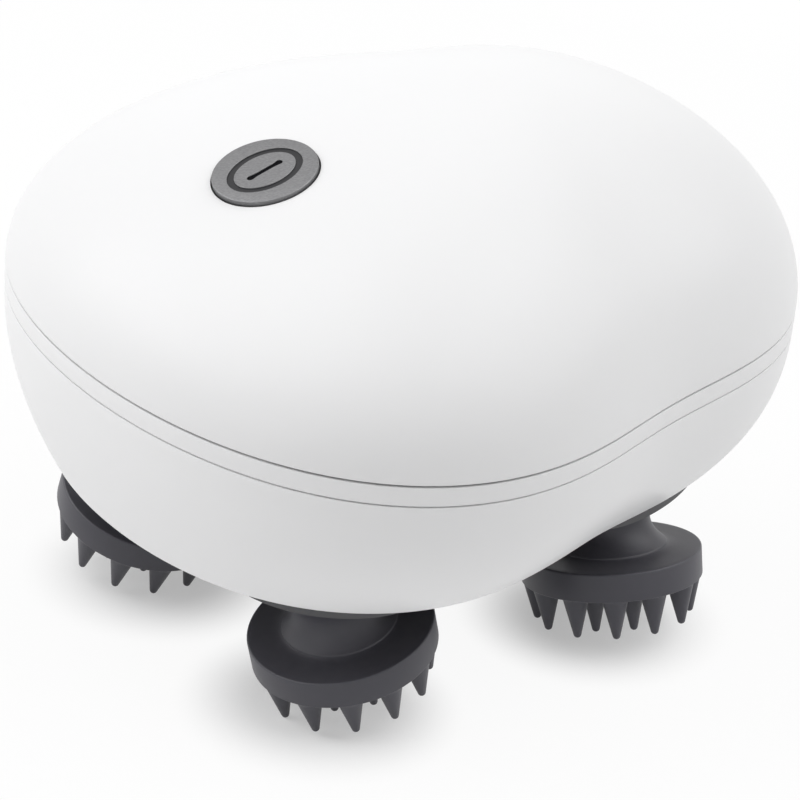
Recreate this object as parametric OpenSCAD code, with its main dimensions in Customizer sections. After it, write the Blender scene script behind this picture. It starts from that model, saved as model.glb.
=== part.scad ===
// Electric scalp massager with four kneading heads.
// Origin: on the floor under the middle of the body. +Z is up, -Y is the broad
// end with the power button, +Y is the narrow end with the charge port.

/* [Body] */
// Mean radius of the body at its seam, seen from above
body_r = 60.6; // [58:0.1:74]
// How much longer than wide the body is
body_oval = 4.3; // [3.4:0.1:5]
// How much the body narrows towards the charge port
body_narrowing = 4.0; // [3:0.1:5]
// How much the broad end is squared off
body_squareness = 1.5; // [1:0.1:2]
// How much the grip flanks pull in
body_flank = 0.9; // [0.5:0.1:1.2]
// Distance of the rim inside the seam, on average
rim_inset = 9.8; // [8:0.1:11.6]
// How much longer than wide the rim is
rim_oval = 7.8; // [6.4:0.1:9.2]
// How fast the casing wall curves in towards the rim
wall_curve = 2.2; // [1.8:0.1:2.6]
// Height of the rim over the floor
rim_z = 28; // [27.8:0.1:30]
// Height of the casing wall, from rim to seam
casing_h = 25; // [24.8:0.1:30]
// Height of the dome over its own seam
dome_h = 32.8; // [32:0.1:40]
// How far the top of the dome lies behind the middle of the heads
dome_back = 18.9; // [12:0.1:22]
// Wall thickness of cover and casing
wall = 2.2; // [1.9:0.1:2.6]
// Height of the trim ring that shows
ring_h = 3.3; // [2.8:0.1:4]
// Thickness of the gasket under the dome
gasket_h = 0.5; // [0.4:0.1:0.8]

/* [Heads] */
// Distance between left and right head axes
head_gap_x = 46.6; // [45.5:0.1:48]
// Number of teeth of the sun gear, which sets the gap front to back
sun_teeth = 45; // [44:1:46]
// Tilt of each head on its shaft
head_tilt = 15; // [12:0.5:16]
// Radius of a head's disc
head_r = 14.9; // [13:0.1:15.6]
// Height of a head's rim
head_rim_h = 4.8; // [4:0.1:5]
// Length of a tine
tine_l = 6.8; // [6:0.1:7]
// How much longer the middle tines are
tine_more = 1.0; // [0:0.1:1.2]
// Radius of a tine at its root
tine_r = 2.2; // [1.8:0.1:2.5]
// Radius of a tine at its tip
tine_tip_r = 0.65; // [0.5:0.05:0.8]
// Radius of a head's neck at its waist
neck_r = 6.4; // [6.2:0.1:6.8]
// Length of a head's neck above the disc
neck_l = 7.9; // [7:0.1:8]
// Length of travel when a head is pulled off
pull_off = 9; // [8:0.5:12]

/* [Gears] */
// Number of teeth of each output gear
out_teeth = 28; // [27:1:29]
// Module of sun and output gears
mod_out = 1.0; // [0.98:0.01:1.02]
// Module of the second stage
mod_mid = 0.8; // [0.78:0.01:0.82]
// Module of the first stage
mod_fine = 0.6; // [0.58:0.01:0.62]
// Module of the motor stage
mod_motor = 0.5; // [0.48:0.01:0.52]
// Teeth of the large wheel above the sun
wheel_teeth = 60; // [58:1:60]
// Teeth of the second gear's wheel
second_teeth = 45; // [43:1:46]
// Teeth of the first gear's wheel
first_teeth = 48; // [46:1:48]
// Teeth of each pinion
pinion_teeth = 12; // [12:1:13]
// Thickness of sun and output gears
out_gear_h = 4; // [3.6:0.1:4.2]
// Radius of each output shaft
shaft_r = 2.5; // [2.2:0.1:2.6]

/* [Button] */
// Radius of the button cap
button_r = 8.3; // [7.5:0.1:9.5]
// Distance of the button ahead of the middle of the heads
button_y = 29.1; // [26:0.1:32]
// Thickness of the button cap
button_h = 1.4; // [1.2:0.1:1.8]
// How far the cap stands proud of the dome
button_proud = 0.45; // [0.3:0.05:0.8]
// Travel of the button
button_travel = 0.5; // [0.3:0.05:0.6]

/* [Electrics] */
// Radius of the motor can
motor_r = 12.2; // [10:0.1:12.4]
// Height of the motor can
motor_h = 20; // [16:0.5:22]
// Radius of the battery cell
cell_r = 9.15; // [7:0.05:9.3]
// Length of the battery cell
cell_l = 65; // [50:0.5:65]
// Width of the charge port's plug
port_w = 14; // [12:0.5:15]

/* [Fits] */
// Running clearance of a shaft in a bush, on the radius
run_gap = 0.05; // [0.03:0.01:0.09]
// Clearance between parts that are fixed or pressed together
fit_gap = 0.1; // [0.1:0.01:0.2]
// Clearance round parts that slide by hand
slide_gap = 0.3; // [0.25:0.05:0.35]
// Thinning of each gear tooth for backlash
backlash = 0.12; // [0.1:0.01:0.2]

/* [Hidden] */

$fn = 48;

// Colours
WHITE = [0.93, 0.93, 0.93];
CHARCOAL = [0.20, 0.20, 0.22];
BASE_GREY = [0.33, 0.33, 0.34];
STEEL = [0.70, 0.70, 0.71];
BRONZE = [0.72, 0.52, 0.30];
NATURAL = [0.88, 0.86, 0.80];
BOARD_GREEN = [0.10, 0.36, 0.20];
BLACK = [0.06, 0.06, 0.06];
CELL_BLUE = [0.15, 0.35, 0.60];

// How far the middle of the four heads lies from the middle of the body's length
heads_ahead = body_flank - body_narrowing;

// Heights of the body
seam_z = rim_z + casing_h;
gasket_z = seam_z + ring_h;
dome_z0 = gasket_z + gasket_h;
outline_steps = 72;
dome_rings = 13;
wall_rings = 9;
gasket_recess = 0.5;
tongue_t = 0.9;
tongue_up = 3;
// Space between the tongue and the walls, with how far the dome has leaned in at the tongue's top
tongue_rise = asin((tongue_up - gasket_h) / (dome_h - wall));
dome_lean = (body_r + dome_back) * (1 - cos(90 / dome_rings)) * tongue_rise * dome_rings / 90;
tongue_gap = fit_gap + dome_lean;

// Base plate and its bosses
base_recess = 0.4;
base_t = 2.6;
base_z = rim_z + base_recess;
base_top = base_z + base_t;
boss_drop = 4;
boss_r = 19;
boss_tip_r = 7;
boss_z = base_z - boss_drop;
ledge_w = 2.6;
ledge_t = 1.3;
base_gasket_h = 1;

// Gear deck
deck_z = seam_z - 4;
deck_t = 2.5;
deck_gap = 0.3;
deck_top = deck_z + deck_t;
post_r = 3.5;
screw_r = 1.2;
screw_head_r = 2.2;
screw_head_h = 1.4;
screw_hole_gap = 0.2;
screw_l = 12;
slot_w = 0.6;
slot_h = 0.6;

// Places of the posts: left, right, front, back
post_side = 33.5;
post_front = 45;
post_back = 47;
posts = [[post_side, 0], [-post_side, 0], [0, -post_front], [0, post_back]];

// Gear centres
pressure_angle = 25;
centre_out = mod_out * (sun_teeth + out_teeth) / 2;
head_x = head_gap_x / 2;
head_y = sqrt(centre_out * centre_out - head_x * head_x);
centre_second = mod_mid * (wheel_teeth + pinion_teeth) / 2;
centre_first = mod_fine * (second_teeth + pinion_teeth) / 2;
centre_motor = mod_motor * (first_teeth + pinion_teeth) / 2;
second_at = [0, centre_second];
first_dir = -50;
first_at = second_at + centre_first * [cos(first_dir), sin(first_dir)];
motor_dir = 190;
motor_at = first_at + centre_motor * [cos(motor_dir), sin(motor_dir)];

// Heights of the gear levels
gear_gap = 0.6;
out_z = base_top + 2.9;
wheel_h = 3;
wheel_z = out_z + out_gear_h + 1;
second_h = 2.4;
second_z = wheel_z + wheel_h + gear_gap;
first_h = 2;
first_z = second_z + second_h + gear_gap;
gear_clear = 0.3;
pocket_gap = 0.5;
pocket_r = mod_out * (out_teeth / 2 + 1) + pocket_gap;
pin_r = 1.5;
pin_bite = 1.6;
pin_boss_r = 3.5;
sun_boss_r = 10;
bush_r = 4;
bush_flange_r = 5.2;
bush_flange_h = 1;
out_hub_r = 4.4;
seal_h = 1.4;

// Heads: order is front right, back right, back left, front left
FRONT_RIGHT = 0;
BACK_RIGHT = 1;
BACK_LEFT = 2;
FRONT_LEFT = 3;
head_at = [[head_x, -head_y], [head_x, head_y], [-head_x, head_y], [-head_x, -head_y]];
// Direction in which each head's top leans, and the turn of its tines
head_lean = [260, 176, 90, 8];
tine_turn = [27, 22, 7, 12];
tine_ring_r = head_r - 2.4;
tine_mid_r = 6.2;
head_l = head_rim_h + tine_l;
// Height of the middle of a disc's top face, so that the lowest tine meets the floor
disc_z = head_l * cos(head_tilt) + (tine_ring_r + tine_tip_r) * sin(head_tilt);
pivot_z = boss_z - 0.3;
stub_top = (pivot_z - disc_z) / cos(head_tilt);
stub_end = -1;
hub_r = 4.2;
hub_drop = 2.4;
rim_edge = 0.25;

// Button frame: the middle of the cap on the dome
button_at_z = dome_height(0, -button_y, 0);
button_slope = atan((dome_height(0, -button_y + 1, 0) - dome_height(0, -button_y - 1, 0)) / 2);
cap_gap = 0.25;
cup_top = -3.2;
cup_floor = -6.4;
cup_floor_t = 1.4;
cup_end = -12.6;
cup_wall = 1.6;
cup_r = button_r + cap_gap + cup_wall;
stem_flange_r = button_r - 0.9;
stem_r = 1.9;
stem_end = -8.6;
seal_w = 1.4;
seal_ring_h = 1.2;
switch_h = 2.2;
switch_w = 6;
board_t = 1.2;
plunger_r = 1.6;
plunger_l = 1.4;

// Motor
motor_nose_r = 3;
motor_nose_h = 1.2;
motor_shaft_r = 1;
motor_shaft_in = 3.5;
motor_cap_h = 2;
motor_cap_step = 0.8;
motor_screw_x = 8;
motor_screw_r = 0.95;
motor_screw_head_r = 1.7;
motor_screw_head_h = 0.7;
terminal_x = 7;
terminal_t = 0.4;
terminal_w = 1.6;
terminal_l = 3;

// Electrics
cradle_t = 1.6;
cradle_wing = 1.2;
cradle_wing_l = 8;
cradle_wing_h = 5;
cradle_floor_h = 2;
strap_t = 0.85;
strap_w = 4;
strap_y = [-18, 18];
cell_tip_r = 3;
cell_tip_h = 1;
cell_x = -27;
cell_z = deck_top + cradle_t + cell_r;
main_board_x = 27;
main_board_w = 25;
main_board_l = 52;
standoff_h = 2.6;
main_board_z = deck_top + standoff_h;
socket_w = 9;
socket_h = 3.6;
socket_l = 8;
socket_z = deck_z - 5.6;
port_t = 1.2;
port_recess = 2.1;
port_pad = 2.3;
port_tongue_l = 2.4;
port_h = 8;
port_y = wall_y(socket_z);
socket_wall = 0.3;
socket_gap = 0.2;
charge_board_w = 16;
charge_board_l = 9.6;
charge_screw_x = 4.2;
charge_screw_r = 0.75;
charge_screw_head_r = 1.4;
charge_screw_head_h = 0.8;
standoff_r = 2;
charge_board_z = socket_z + socket_h / 2;
charge_back_y = port_y - port_recess - port_pad - 1 - charge_board_l;
charge_screw_y = charge_back_y + 2.5;
cover_posts = [[28, -43], [-28, -43], [26, 44], [-26, 44]];

// Leads
lead_r = 0.6;
lead_pitch = 2.4;
plug_h = 4.5;
board_top = main_board_z + board_t;
motor_top = deck_top + motor_h;

// Middles of the three lead connectors on the main board
cell_plug = [main_board_x - 8.75, -16];
motor_plug = [main_board_x - 8.75, 19];
switch_plug = [main_board_x + 2, -21.75];

// ---------------------------------------------------------------- outlines

// Distance from the middle of the heads to the seam, in direction a from +Y
function seam_r(a) =
    body_r + body_oval * cos(2 * a) + body_narrowing * cos(3 * a)
    - body_squareness * cos(4 * a) - body_flank * cos(5 * a);

// The same for the rim
function rim_r(a) =
    body_r - rim_inset + rim_oval * cos(2 * a) + body_narrowing * cos(3 * a)
    - body_squareness / 3 * cos(4 * a);

// Share of the way from seam to rim at height z, 0 above the seam
function wall_share(z) = pow(max(0, min(1, (seam_z - z) / casing_h)), wall_curve);

// Outside of the body at height z up to the dome's seam
function body_radius(a, z) = seam_r(a) + (rim_r(a) - seam_r(a)) * wall_share(z);

// The outside of the casing on the axis at the narrow end
function wall_y(z) = body_radius(0, z);

function turn_point(a, r) = [-r * sin(a), r * cos(a)];

// Closed outline at height z, inset by d
function outline(z, d) =
    [for (i = [0 : outline_steps - 1]) let (a = i * 360 / outline_steps)
        turn_point(a, body_radius(a, z) - d)];

// Dome: a quarter ellipse from the seam to a top point behind the origin
function dome_point(a, t, d) =
    let (flat = turn_point(a, seam_r(a) - d) * cos(t) + [0, dome_back] * (1 - cos(t)))
    [flat.x, flat.y, dome_z0 + (dome_h - d) * sin(t)];

// How far out of the dome's centre a point lies, by halving
function dome_share(x, y, d, low = 0.001, high = 1.2, n = 24) =
    n == 0 ? (low + high) / 2 :
    let (s = (low + high) / 2,
         p = ([x, y] - [0, dome_back] * (1 - s)) / s,
         inside = norm(p) < seam_r(atan2(-p.x, p.y)) - d)
    inside ? dome_share(x, y, d, low, s, n - 1) : dome_share(x, y, d, s, high, n - 1);

function dome_height(x, y, d) =
    let (s = min(1, dome_share(x, y, d)))
    dome_z0 + (dome_h - d) * sqrt(1 - s * s);

// ---------------------------------------------------------------- shared shapes

// Shell swept once round the body, from a closed list of [inset, height]
module swept_shell(profile) {
    m = outline_steps;
    n = len(profile);
    points = [for (p = profile) for (q = outline(p[1], p[0])) [q.x, q.y, p[1]]];
    faces = [
        for (j = [0 : n - 1]) for (i = [0 : m - 1])
            let (k = (j + 1) % n, e = (i + 1) % m)
            each [[j * m + i, k * m + i, k * m + e], [j * m + i, k * m + e, j * m + e]]
    ];
    polyhedron(points, faces);
}

// Solid under the dome, inset by d
module dome_core(d) {
    m = outline_steps;
    n = dome_rings;
    top = n * m;
    points = [
        for (j = [0 : n - 1]) for (i = [0 : m - 1]) dome_point(i * 360 / m, j * 90 / n, d),
        [0, dome_back, dome_z0 + dome_h - d]
    ];
    faces = [
        for (j = [0 : n - 2]) for (i = [0 : m - 1])
            let (e = (i + 1) % m)
            each [[j * m + i, (j + 1) * m + i, (j + 1) * m + e], [j * m + i, (j + 1) * m + e, j * m + e]],
        for (i = [0 : m - 1]) [(n - 1) * m + i, top, (n - 1) * m + (i + 1) % m],
        [for (i = [0 : m - 1]) i]
    ];
    polyhedron(points, faces);
}

// Involute gear: tooth 0 points along +X before turn
function involute(base, t) = base * [cos(t) + t * PI / 180 * sin(t), sin(t) - t * PI / 180 * cos(t)];

function turned(p, a) = [p.x * cos(a) - p.y * sin(a), p.x * sin(a) + p.y * cos(a)];

// Half angle of a tooth at its base circle
function half_tooth(z, m) =
    let (t = tan(pressure_angle) * 180 / PI)
    90 / z - backlash / (z * m) * 180 / PI + t - pressure_angle;

function gear_outline(z, m, turn) =
    let (pitch = z * m / 2,
         base = pitch * cos(pressure_angle),
         root = pitch - 1.2 * m,
         tip = pitch + 0.95 * m,
         start = max(base, root + 0.05 * m),
         t0 = sqrt(max(0, start * start / base / base - 1)) * 180 / PI,
         t1 = sqrt(tip * tip / base / base - 1) * 180 / PI,
         half = half_tooth(z, m),
         n = 4,
         right = [for (i = [0 : n]) turned(involute(base, t0 + (t1 - t0) * i / n), -half)],
         foot = half - t0 + atan(t0 * PI / 180))
    [for (k = [0 : z - 1]) let (a = turn + k * 360 / z)
        each concat(
            [turned([root * cos(foot), -root * sin(foot)], a)],
            [for (p = right) turned(p, a)],
            [for (i = [n : -1 : 0]) turned([right[i].x, -right[i].y], a)],
            [turned([root * cos(foot), root * sin(foot)], a)]
        )];

// Turn of a gear at direction a from its mate, so that their teeth mesh
function mesh_turn(z_mate, turn_mate, z, a) =
    a + 180 - 180 / z + z_mate / z * (a - turn_mate);

module gear(z, m, h, turn) {
    linear_extrude(h) polygon(gear_outline(z, m, turn));
}

module tube(r_out, r_in, h) {
    difference() {
        cylinder(r = r_out, h = h);
        translate([0, 0, -1]) cylinder(r = r_in, h = h + 2);
    }
}

// Rounded slot in the XZ plane, drawn along +Y
module slot_bar(w, h, l) {
    rotate([-90, 0, 0]) linear_extrude(l) {
        square([w - h, h], center = true);
        for (s = [-1, 1]) translate([s * (w - h) / 2, 0]) circle(d = h);
    }
}

// Round lead through a list of points, each stretch run on a little past its corners
module lead(points, r) {
    n = len(points);
    for (i = [0 : n - 2]) {
        d = points[i + 1] - points[i];
        l = norm(d);
        before = i == 0 ? 0 : r / 2;
        after = i == n - 2 ? 0 : r / 2;
        translate(points[i])
            rotate([0, acos(d.z / l), atan2(d.y, d.x)])
                translate([0, 0, -before]) cylinder(r = r, h = l + before + after, $fn = 10);
    }
}

// Pan-head screw with its head's underside at z 0, pointing up
module screw(l, r = screw_r, head_r = screw_head_r) {
    difference() {
        translate([0, 0, -screw_head_h]) cylinder(r = head_r, h = screw_head_h, $fn = 32);
        translate([-head_r, -slot_w / 2, -screw_head_h - 1]) cube([2 * head_r, slot_w, 1 + slot_h]);
    }
    cylinder(r = r, h = l, $fn = 32);
}

// Everything is drawn round the middle of the four heads and moved as one
module placed() {
    translate([0, heads_ahead, 0]) children();
}

module at_posts() {
    for (p = posts) translate([p.x, p.y, 0]) children();
}

module at_heads() {
    for (p = head_at) translate([p.x, p.y, 0]) children();
}

// Frame of head i: origin at the middle of its disc's top face, +Z up its axis
module on_head(i) {
    translate([head_at[i].x, head_at[i].y, pivot_z])
        rotate([0, 0, head_lean[i]])
            rotate([0, head_tilt, 0])
                translate([0, 0, -stub_top])
                    children();
}

// Frame of the button: origin on the dome, +Z out of it
module on_button() {
    translate([0, -button_y, button_at_z]) rotate([button_slope, 0, 0]) children();
}

// ---------------------------------------------------------------- shells

module top_cover() {
    color(WHITE) placed() difference() {
        union() {
            difference() {
                dome_core(0);
                translate([0, 0, -0.01]) dome_core(wall);
            }
            intersection() {
                dome_core(wall / 2);
                union() {
                    for (p = cover_posts)
                        translate([p.x, p.y, deck_top]) cylinder(r = post_r, h = dome_h + 6);
                    on_button() translate([0, 0, cup_top - 3]) cylinder(r = cup_r + 1.6, h = 8);
                }
            }
            for (p = cover_posts)
                translate([p.x, p.y, deck_top]) cylinder(r = post_r, h = dome_z0 - deck_top + 1);
        }
        for (p = cover_posts)
            translate([p.x, p.y, deck_top - 1]) cylinder(r = screw_r, h = screw_l);
        on_button() translate([0, 0, cup_top - 5]) cylinder(r = button_r + cap_gap, h = 20);
        on_button() translate([0, 0, cup_top - 5]) cylinder(r = cup_r, h = 5);
    }
}

module trim_ring() {
    tongue_in = wall + tongue_gap + tongue_t;
    color(WHITE) placed() union() {
        translate([0, 0, seam_z]) linear_extrude(ring_h) difference() {
            polygon(outline(seam_z, 0));
            polygon(outline(seam_z, tongue_in));
        }
        translate([0, 0, deck_top + fit_gap]) linear_extrude(gasket_z + tongue_up - deck_top) difference() {
            polygon(outline(seam_z, wall + tongue_gap));
            polygon(outline(seam_z, tongue_in));
        }
    }
}

module cover_gasket() {
    color(BLACK) placed() translate([0, 0, gasket_z]) linear_extrude(gasket_h) difference() {
        polygon(outline(seam_z, gasket_recess));
        polygon(outline(seam_z, wall));
    }
}

module lower_casing() {
    low_ledge = base_top + base_gasket_h;
    high_ledge = deck_z - ledge_t;
    outer = [for (i = [0 : wall_rings]) [0, rim_z + casing_h * i / wall_rings]];
    inner = [
        [wall, seam_z], [wall, deck_z],
        [wall + ledge_w, deck_z], [wall + ledge_w, high_ledge],
        [wall, high_ledge - ledge_t], [wall, (high_ledge + low_ledge) / 2],
        [wall, low_ledge + 1.15 * ledge_t],
        [wall + ledge_w, low_ledge + ledge_t], [wall + ledge_w, low_ledge],
        [wall, low_ledge], [wall, rim_z]
    ];
    color(WHITE) placed() difference() {
        union() {
            swept_shell(concat(inner, outer));
            translate([-port_w / 2 - 1.6, port_y - port_recess - port_pad, socket_z - port_h / 2 - 1.4])
                cube([port_w + 3.2, port_pad + 0.1, port_h + 2.8]);
        }
        at_heads() translate([0, 0, out_z - gear_clear]) cylinder(r = pocket_r, h = out_gear_h + 2 * gear_clear);
        translate([0, port_y - port_recess, socket_z])
            slot_bar(port_w + 2 * slide_gap, port_h + 2 * slide_gap, 10);
        translate([0, port_y - 12, socket_z])
            slot_bar(socket_w + 2 * socket_gap, socket_h + 2 * socket_gap, 20);
    }
}

// ---------------------------------------------------------------- base

// Half profile of a boss round a shaft, as a quarter ellipse
function boss_profile() = concat(
    [[bush_r, boss_z], [boss_tip_r, boss_z]],
    [for (i = [1 : 6])
        [boss_tip_r + (boss_r - boss_tip_r) * sin(i * 15), boss_z + boss_drop * (1 - cos(i * 15))]],
    [[boss_r, base_top], [bush_r, base_top]]
);

module base_plate() {
    color(BASE_GREY) placed() difference() {
        union() {
            translate([0, 0, base_z]) linear_extrude(base_t)
                polygon(outline(rim_z, wall + fit_gap));
            intersection() {
                at_heads() rotate_extrude() polygon(boss_profile());
                translate([0, 0, boss_z - 1]) linear_extrude(base_top - boss_z + 1)
                    polygon(outline(rim_z, wall + fit_gap));
            }
            translate([0, 0, base_top - 1]) cylinder(r = pin_boss_r, h = out_z - gear_clear - base_top + 1);
            translate([second_at.x, second_at.y, base_top - 1])
                cylinder(r = pin_boss_r, h = wheel_z - 2 * gear_clear - base_top + 1);
        }
        at_heads() translate([0, 0, boss_z - 1]) cylinder(r = bush_r, h = base_top - boss_z + 2);
        at_posts() translate([0, 0, base_z - 1]) cylinder(r = screw_r + screw_hole_gap, h = base_t + 2);
        at_posts() translate([0, 0, base_z - 1])
            cylinder(r = screw_head_r + screw_hole_gap, h = 1 + screw_head_h);
        translate([0, 0, base_top - pin_bite]) cylinder(r = pin_r, h = wheel_z - base_top + pin_bite);
        translate([second_at.x, second_at.y, base_top - pin_bite])
            cylinder(r = pin_r, h = wheel_z - base_top + pin_bite);
    }
}

module base_gasket() {
    color(BLACK) placed() translate([0, 0, base_top]) linear_extrude(base_gasket_h) difference() {
        polygon(outline(rim_z, wall + fit_gap + 0.3));
        polygon(outline(rim_z, wall + ledge_w));
    }
}

module base_screws() {
    color(STEEL) placed() at_posts() translate([0, 0, base_z + screw_head_h]) screw(screw_l);
}

module lower_bushes() {
    color(BRONZE) placed() at_heads() translate([0, 0, boss_z + seal_h]) union() {
        tube(bush_r, shaft_r + run_gap, base_top - boss_z - seal_h);
        translate([0, 0, base_top - boss_z - seal_h]) tube(bush_flange_r, shaft_r + run_gap, bush_flange_h);
    }
}

module shaft_seals() {
    color(BLACK) placed() at_heads() translate([0, 0, boss_z]) tube(bush_r, shaft_r + run_gap, seal_h);
}

// ---------------------------------------------------------------- deck

module gear_deck() {
    board_hole_x = main_board_w / 2 - 2.5;
    board_hole_y = main_board_l / 2 - 2.5;
    charge_top = charge_board_z + board_t;
    color(NATURAL) placed() difference() {
        union() {
            translate([0, 0, deck_z]) linear_extrude(deck_t)
                polygon(outline(deck_z, wall + deck_gap));
            at_posts() translate([0, 0, base_top]) cylinder(r = post_r, h = deck_z - base_top + 1);
            for (x = [-1, 1]) for (y = [-1, 1])
                translate([main_board_x + x * board_hole_x, y * board_hole_y, deck_top - 1])
                    cylinder(r = standoff_r, h = standoff_h + 1);
            for (x = [-1, 1])
                translate([x * charge_screw_x, charge_screw_y, charge_top])
                    cylinder(r = standoff_r, h = deck_z - charge_top + 1);
        }
        at_heads() translate([0, 0, deck_z - 1]) cylinder(r = bush_r, h = deck_t + 2);
        at_posts() translate([0, 0, base_top - 1]) cylinder(r = screw_r, h = screw_l + 1);
        for (p = cover_posts)
            translate([p.x, p.y, deck_z - 1]) cylinder(r = screw_r + screw_hole_gap, h = deck_t + 2);
        for (c = [[0, 0], second_at, first_at])
            translate([c.x, c.y, deck_z - 1]) cylinder(r = pin_r, h = pin_bite + 1);
        translate([motor_at.x, motor_at.y, deck_z - 1])
            cylinder(r = motor_nose_r + fit_gap, h = deck_t + 2);
        for (s = [-1, 1])
            translate([motor_at.x + s * motor_screw_x, motor_at.y, deck_z - 1])
                cylinder(r = motor_screw_r + fit_gap, h = deck_t + 2);
    }
}

module cover_screws() {
    color(STEEL) placed() for (p = cover_posts) translate([p.x, p.y, deck_z]) screw(screw_l - 1);
}

module upper_bushes() {
    color(BRONZE) placed() at_heads() translate([0, 0, deck_z - bush_flange_h]) union() {
        tube(bush_flange_r, shaft_r + run_gap, bush_flange_h);
        tube(bush_r, shaft_r + run_gap, bush_flange_h + deck_t);
    }
}

// ---------------------------------------------------------------- gears

sun_turn = 0;
wheel_turn = 0;
second_pinion_turn = mesh_turn(wheel_teeth, wheel_turn, pinion_teeth, 90);
second_wheel_turn = 0;
first_pinion_turn = mesh_turn(second_teeth, second_wheel_turn, pinion_teeth, first_dir);
first_wheel_turn = 0;
motor_turn = mesh_turn(first_teeth, first_wheel_turn, pinion_teeth, motor_dir);

module central_gear() {
    color(NATURAL) placed() difference() {
        union() {
            translate([0, 0, out_z]) gear(sun_teeth, mod_out, out_gear_h, sun_turn);
            translate([0, 0, out_z + out_gear_h - 0.5])
                cylinder(r = sun_boss_r, h = wheel_z - out_z - out_gear_h + 1);
            translate([0, 0, wheel_z]) gear(wheel_teeth, mod_mid, wheel_h, wheel_turn);
            translate([0, 0, wheel_z]) cylinder(r = pin_boss_r, h = deck_z - gear_clear - wheel_z);
        }
        translate([0, 0, out_z - 1]) cylinder(r = pin_r + run_gap, h = deck_z - out_z + 2);
    }
}

module second_gear() {
    color(NATURAL) placed() translate([second_at.x, second_at.y, 0]) difference() {
        union() {
            translate([0, 0, wheel_z - gear_clear])
                gear(pinion_teeth, mod_mid, second_z - wheel_z + 2 * gear_clear, second_pinion_turn);
            translate([0, 0, second_z]) gear(second_teeth, mod_fine, second_h, second_wheel_turn);
            translate([0, 0, second_z]) cylinder(r = pin_boss_r, h = deck_z - gear_clear - second_z);
        }
        translate([0, 0, wheel_z - 2]) cylinder(r = pin_r + run_gap, h = deck_z - wheel_z + 3);
    }
}

module first_gear() {
    color(NATURAL) placed() translate([first_at.x, first_at.y, 0]) difference() {
        union() {
            translate([0, 0, second_z])
                gear(pinion_teeth, mod_fine, first_z - second_z + gear_clear, first_pinion_turn);
            translate([0, 0, first_z]) gear(first_teeth, mod_motor, first_h, first_wheel_turn);
            translate([0, 0, first_z]) cylinder(r = pin_boss_r, h = deck_z - gear_clear - first_z);
        }
        translate([0, 0, second_z - 1]) cylinder(r = pin_r + run_gap, h = deck_z - second_z + 2);
    }
}

// Pin from the base plate up into the deck
module long_pin(at) {
    translate([at.x, at.y, base_top - pin_bite])
        cylinder(r = pin_r, h = deck_z - base_top + 2 * pin_bite);
}

module central_pin() {
    color(STEEL) placed() long_pin([0, 0]);
}

module second_pin() {
    color(STEEL) placed() long_pin(second_at);
}

module first_pin() {
    color(STEEL) placed() translate([first_at.x, first_at.y, second_z - gear_clear])
        cylinder(r = pin_r, h = deck_z + pin_bite - second_z + gear_clear);
}

module output_gear(i) {
    p = head_at[i];
    turn = mesh_turn(sun_teeth, sun_turn, out_teeth, atan2(p.y, p.x));
    color(NATURAL) placed() translate([p.x, p.y, 0]) difference() {
        union() {
            translate([0, 0, out_z]) gear(out_teeth, mod_out, out_gear_h, turn);
            translate([0, 0, base_top + bush_flange_h + gear_clear])
                cylinder(r = out_hub_r, h = wheel_z - gear_clear - base_top - bush_flange_h - gear_clear);
        }
        translate([0, 0, base_top]) cylinder(r = shaft_r, h = wheel_z - base_top);
    }
}

// Bent shaft: an upright part and a tilted stub, mitred where they meet
module output_shaft(i) {
    up = deck_top - pivot_z;
    color(STEEL) placed() translate([head_at[i].x, head_at[i].y, pivot_z]) rotate([0, 0, head_lean[i]]) {
        difference() {
            translate([0, 0, -shaft_r]) cylinder(r = shaft_r, h = up + shaft_r);
            rotate([0, head_tilt / 2, 0]) translate([-20, -20, -40]) cube(40);
        }
        difference() {
            rotate([0, head_tilt, 0]) translate([0, 0, stub_end - stub_top])
                cylinder(r = shaft_r, h = stub_top - stub_end + shaft_r);
            rotate([0, head_tilt / 2, 0]) translate([-20, -20, 0]) cube(40);
        }
    }
}

// ---------------------------------------------------------------- heads

// Outside of a head, from its bore round to the underside
function head_profile() = concat(
    [[hub_r, neck_l], [neck_r + 0.4, neck_l], [neck_r + 0.6, neck_l - 0.7]],
    [for (i = [0 : 8])
        let (t = i / 8)
        [neck_r + 2.6 * pow(t, 2.4) + 0.3 * pow(1 - t, 3), (neck_l - 1.4) - (neck_l - 2.4) * t]],
    [[neck_r + 2.8, 0.75], [neck_r + 3.6, 0.45], [head_r - 0.5, 0], [head_r, -0.5],
     [head_r, -head_rim_h + rim_edge], [head_r - rim_edge, -head_rim_h], [0, -head_rim_h],
     [0, -hub_drop], [hub_r, -hub_drop]]
);

module tine(more = 0) {
    translate([0, 0, -head_l - more])
        cylinder(r1 = tine_tip_r, r2 = tine_r, h = tine_l + more + 0.2, $fn = 24);
}

module kneading_head(i) {
    color(CHARCOAL) placed() on_head(i) rotate([0, 0, tine_turn[i] - head_lean[i]]) union() {
        rotate_extrude() polygon(head_profile());
        for (a = [0 : 30 : 330]) rotate([0, 0, a]) translate([tine_ring_r, 0, 0]) tine();
        for (a = [30 : 60 : 330]) rotate([0, 0, a]) translate([tine_mid_r, 0, 0]) tine(tine_more);
        tine(tine_more);
    }
}

module head_hub(i) {
    color(BLACK) placed() on_head(i) difference() {
        translate([0, 0, -hub_drop]) cylinder(r = hub_r, h = neck_l + hub_drop - 0.2);
        translate([0, 0, stub_end - 0.2]) cylinder(r = shaft_r + run_gap, h = 20);
    }
}

// ---------------------------------------------------------------- button

// Ellipse with its long side along Y
function ellipse(a, b) = [for (i = [0 : 47]) [b * cos(i * 7.5), a * sin(i * 7.5)]];

mark_depth = 0.3;
mark_long = 0.75;
mark_wide = 0.61;
mark_line = 0.13;
mark_bar = 0.34;

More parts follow.
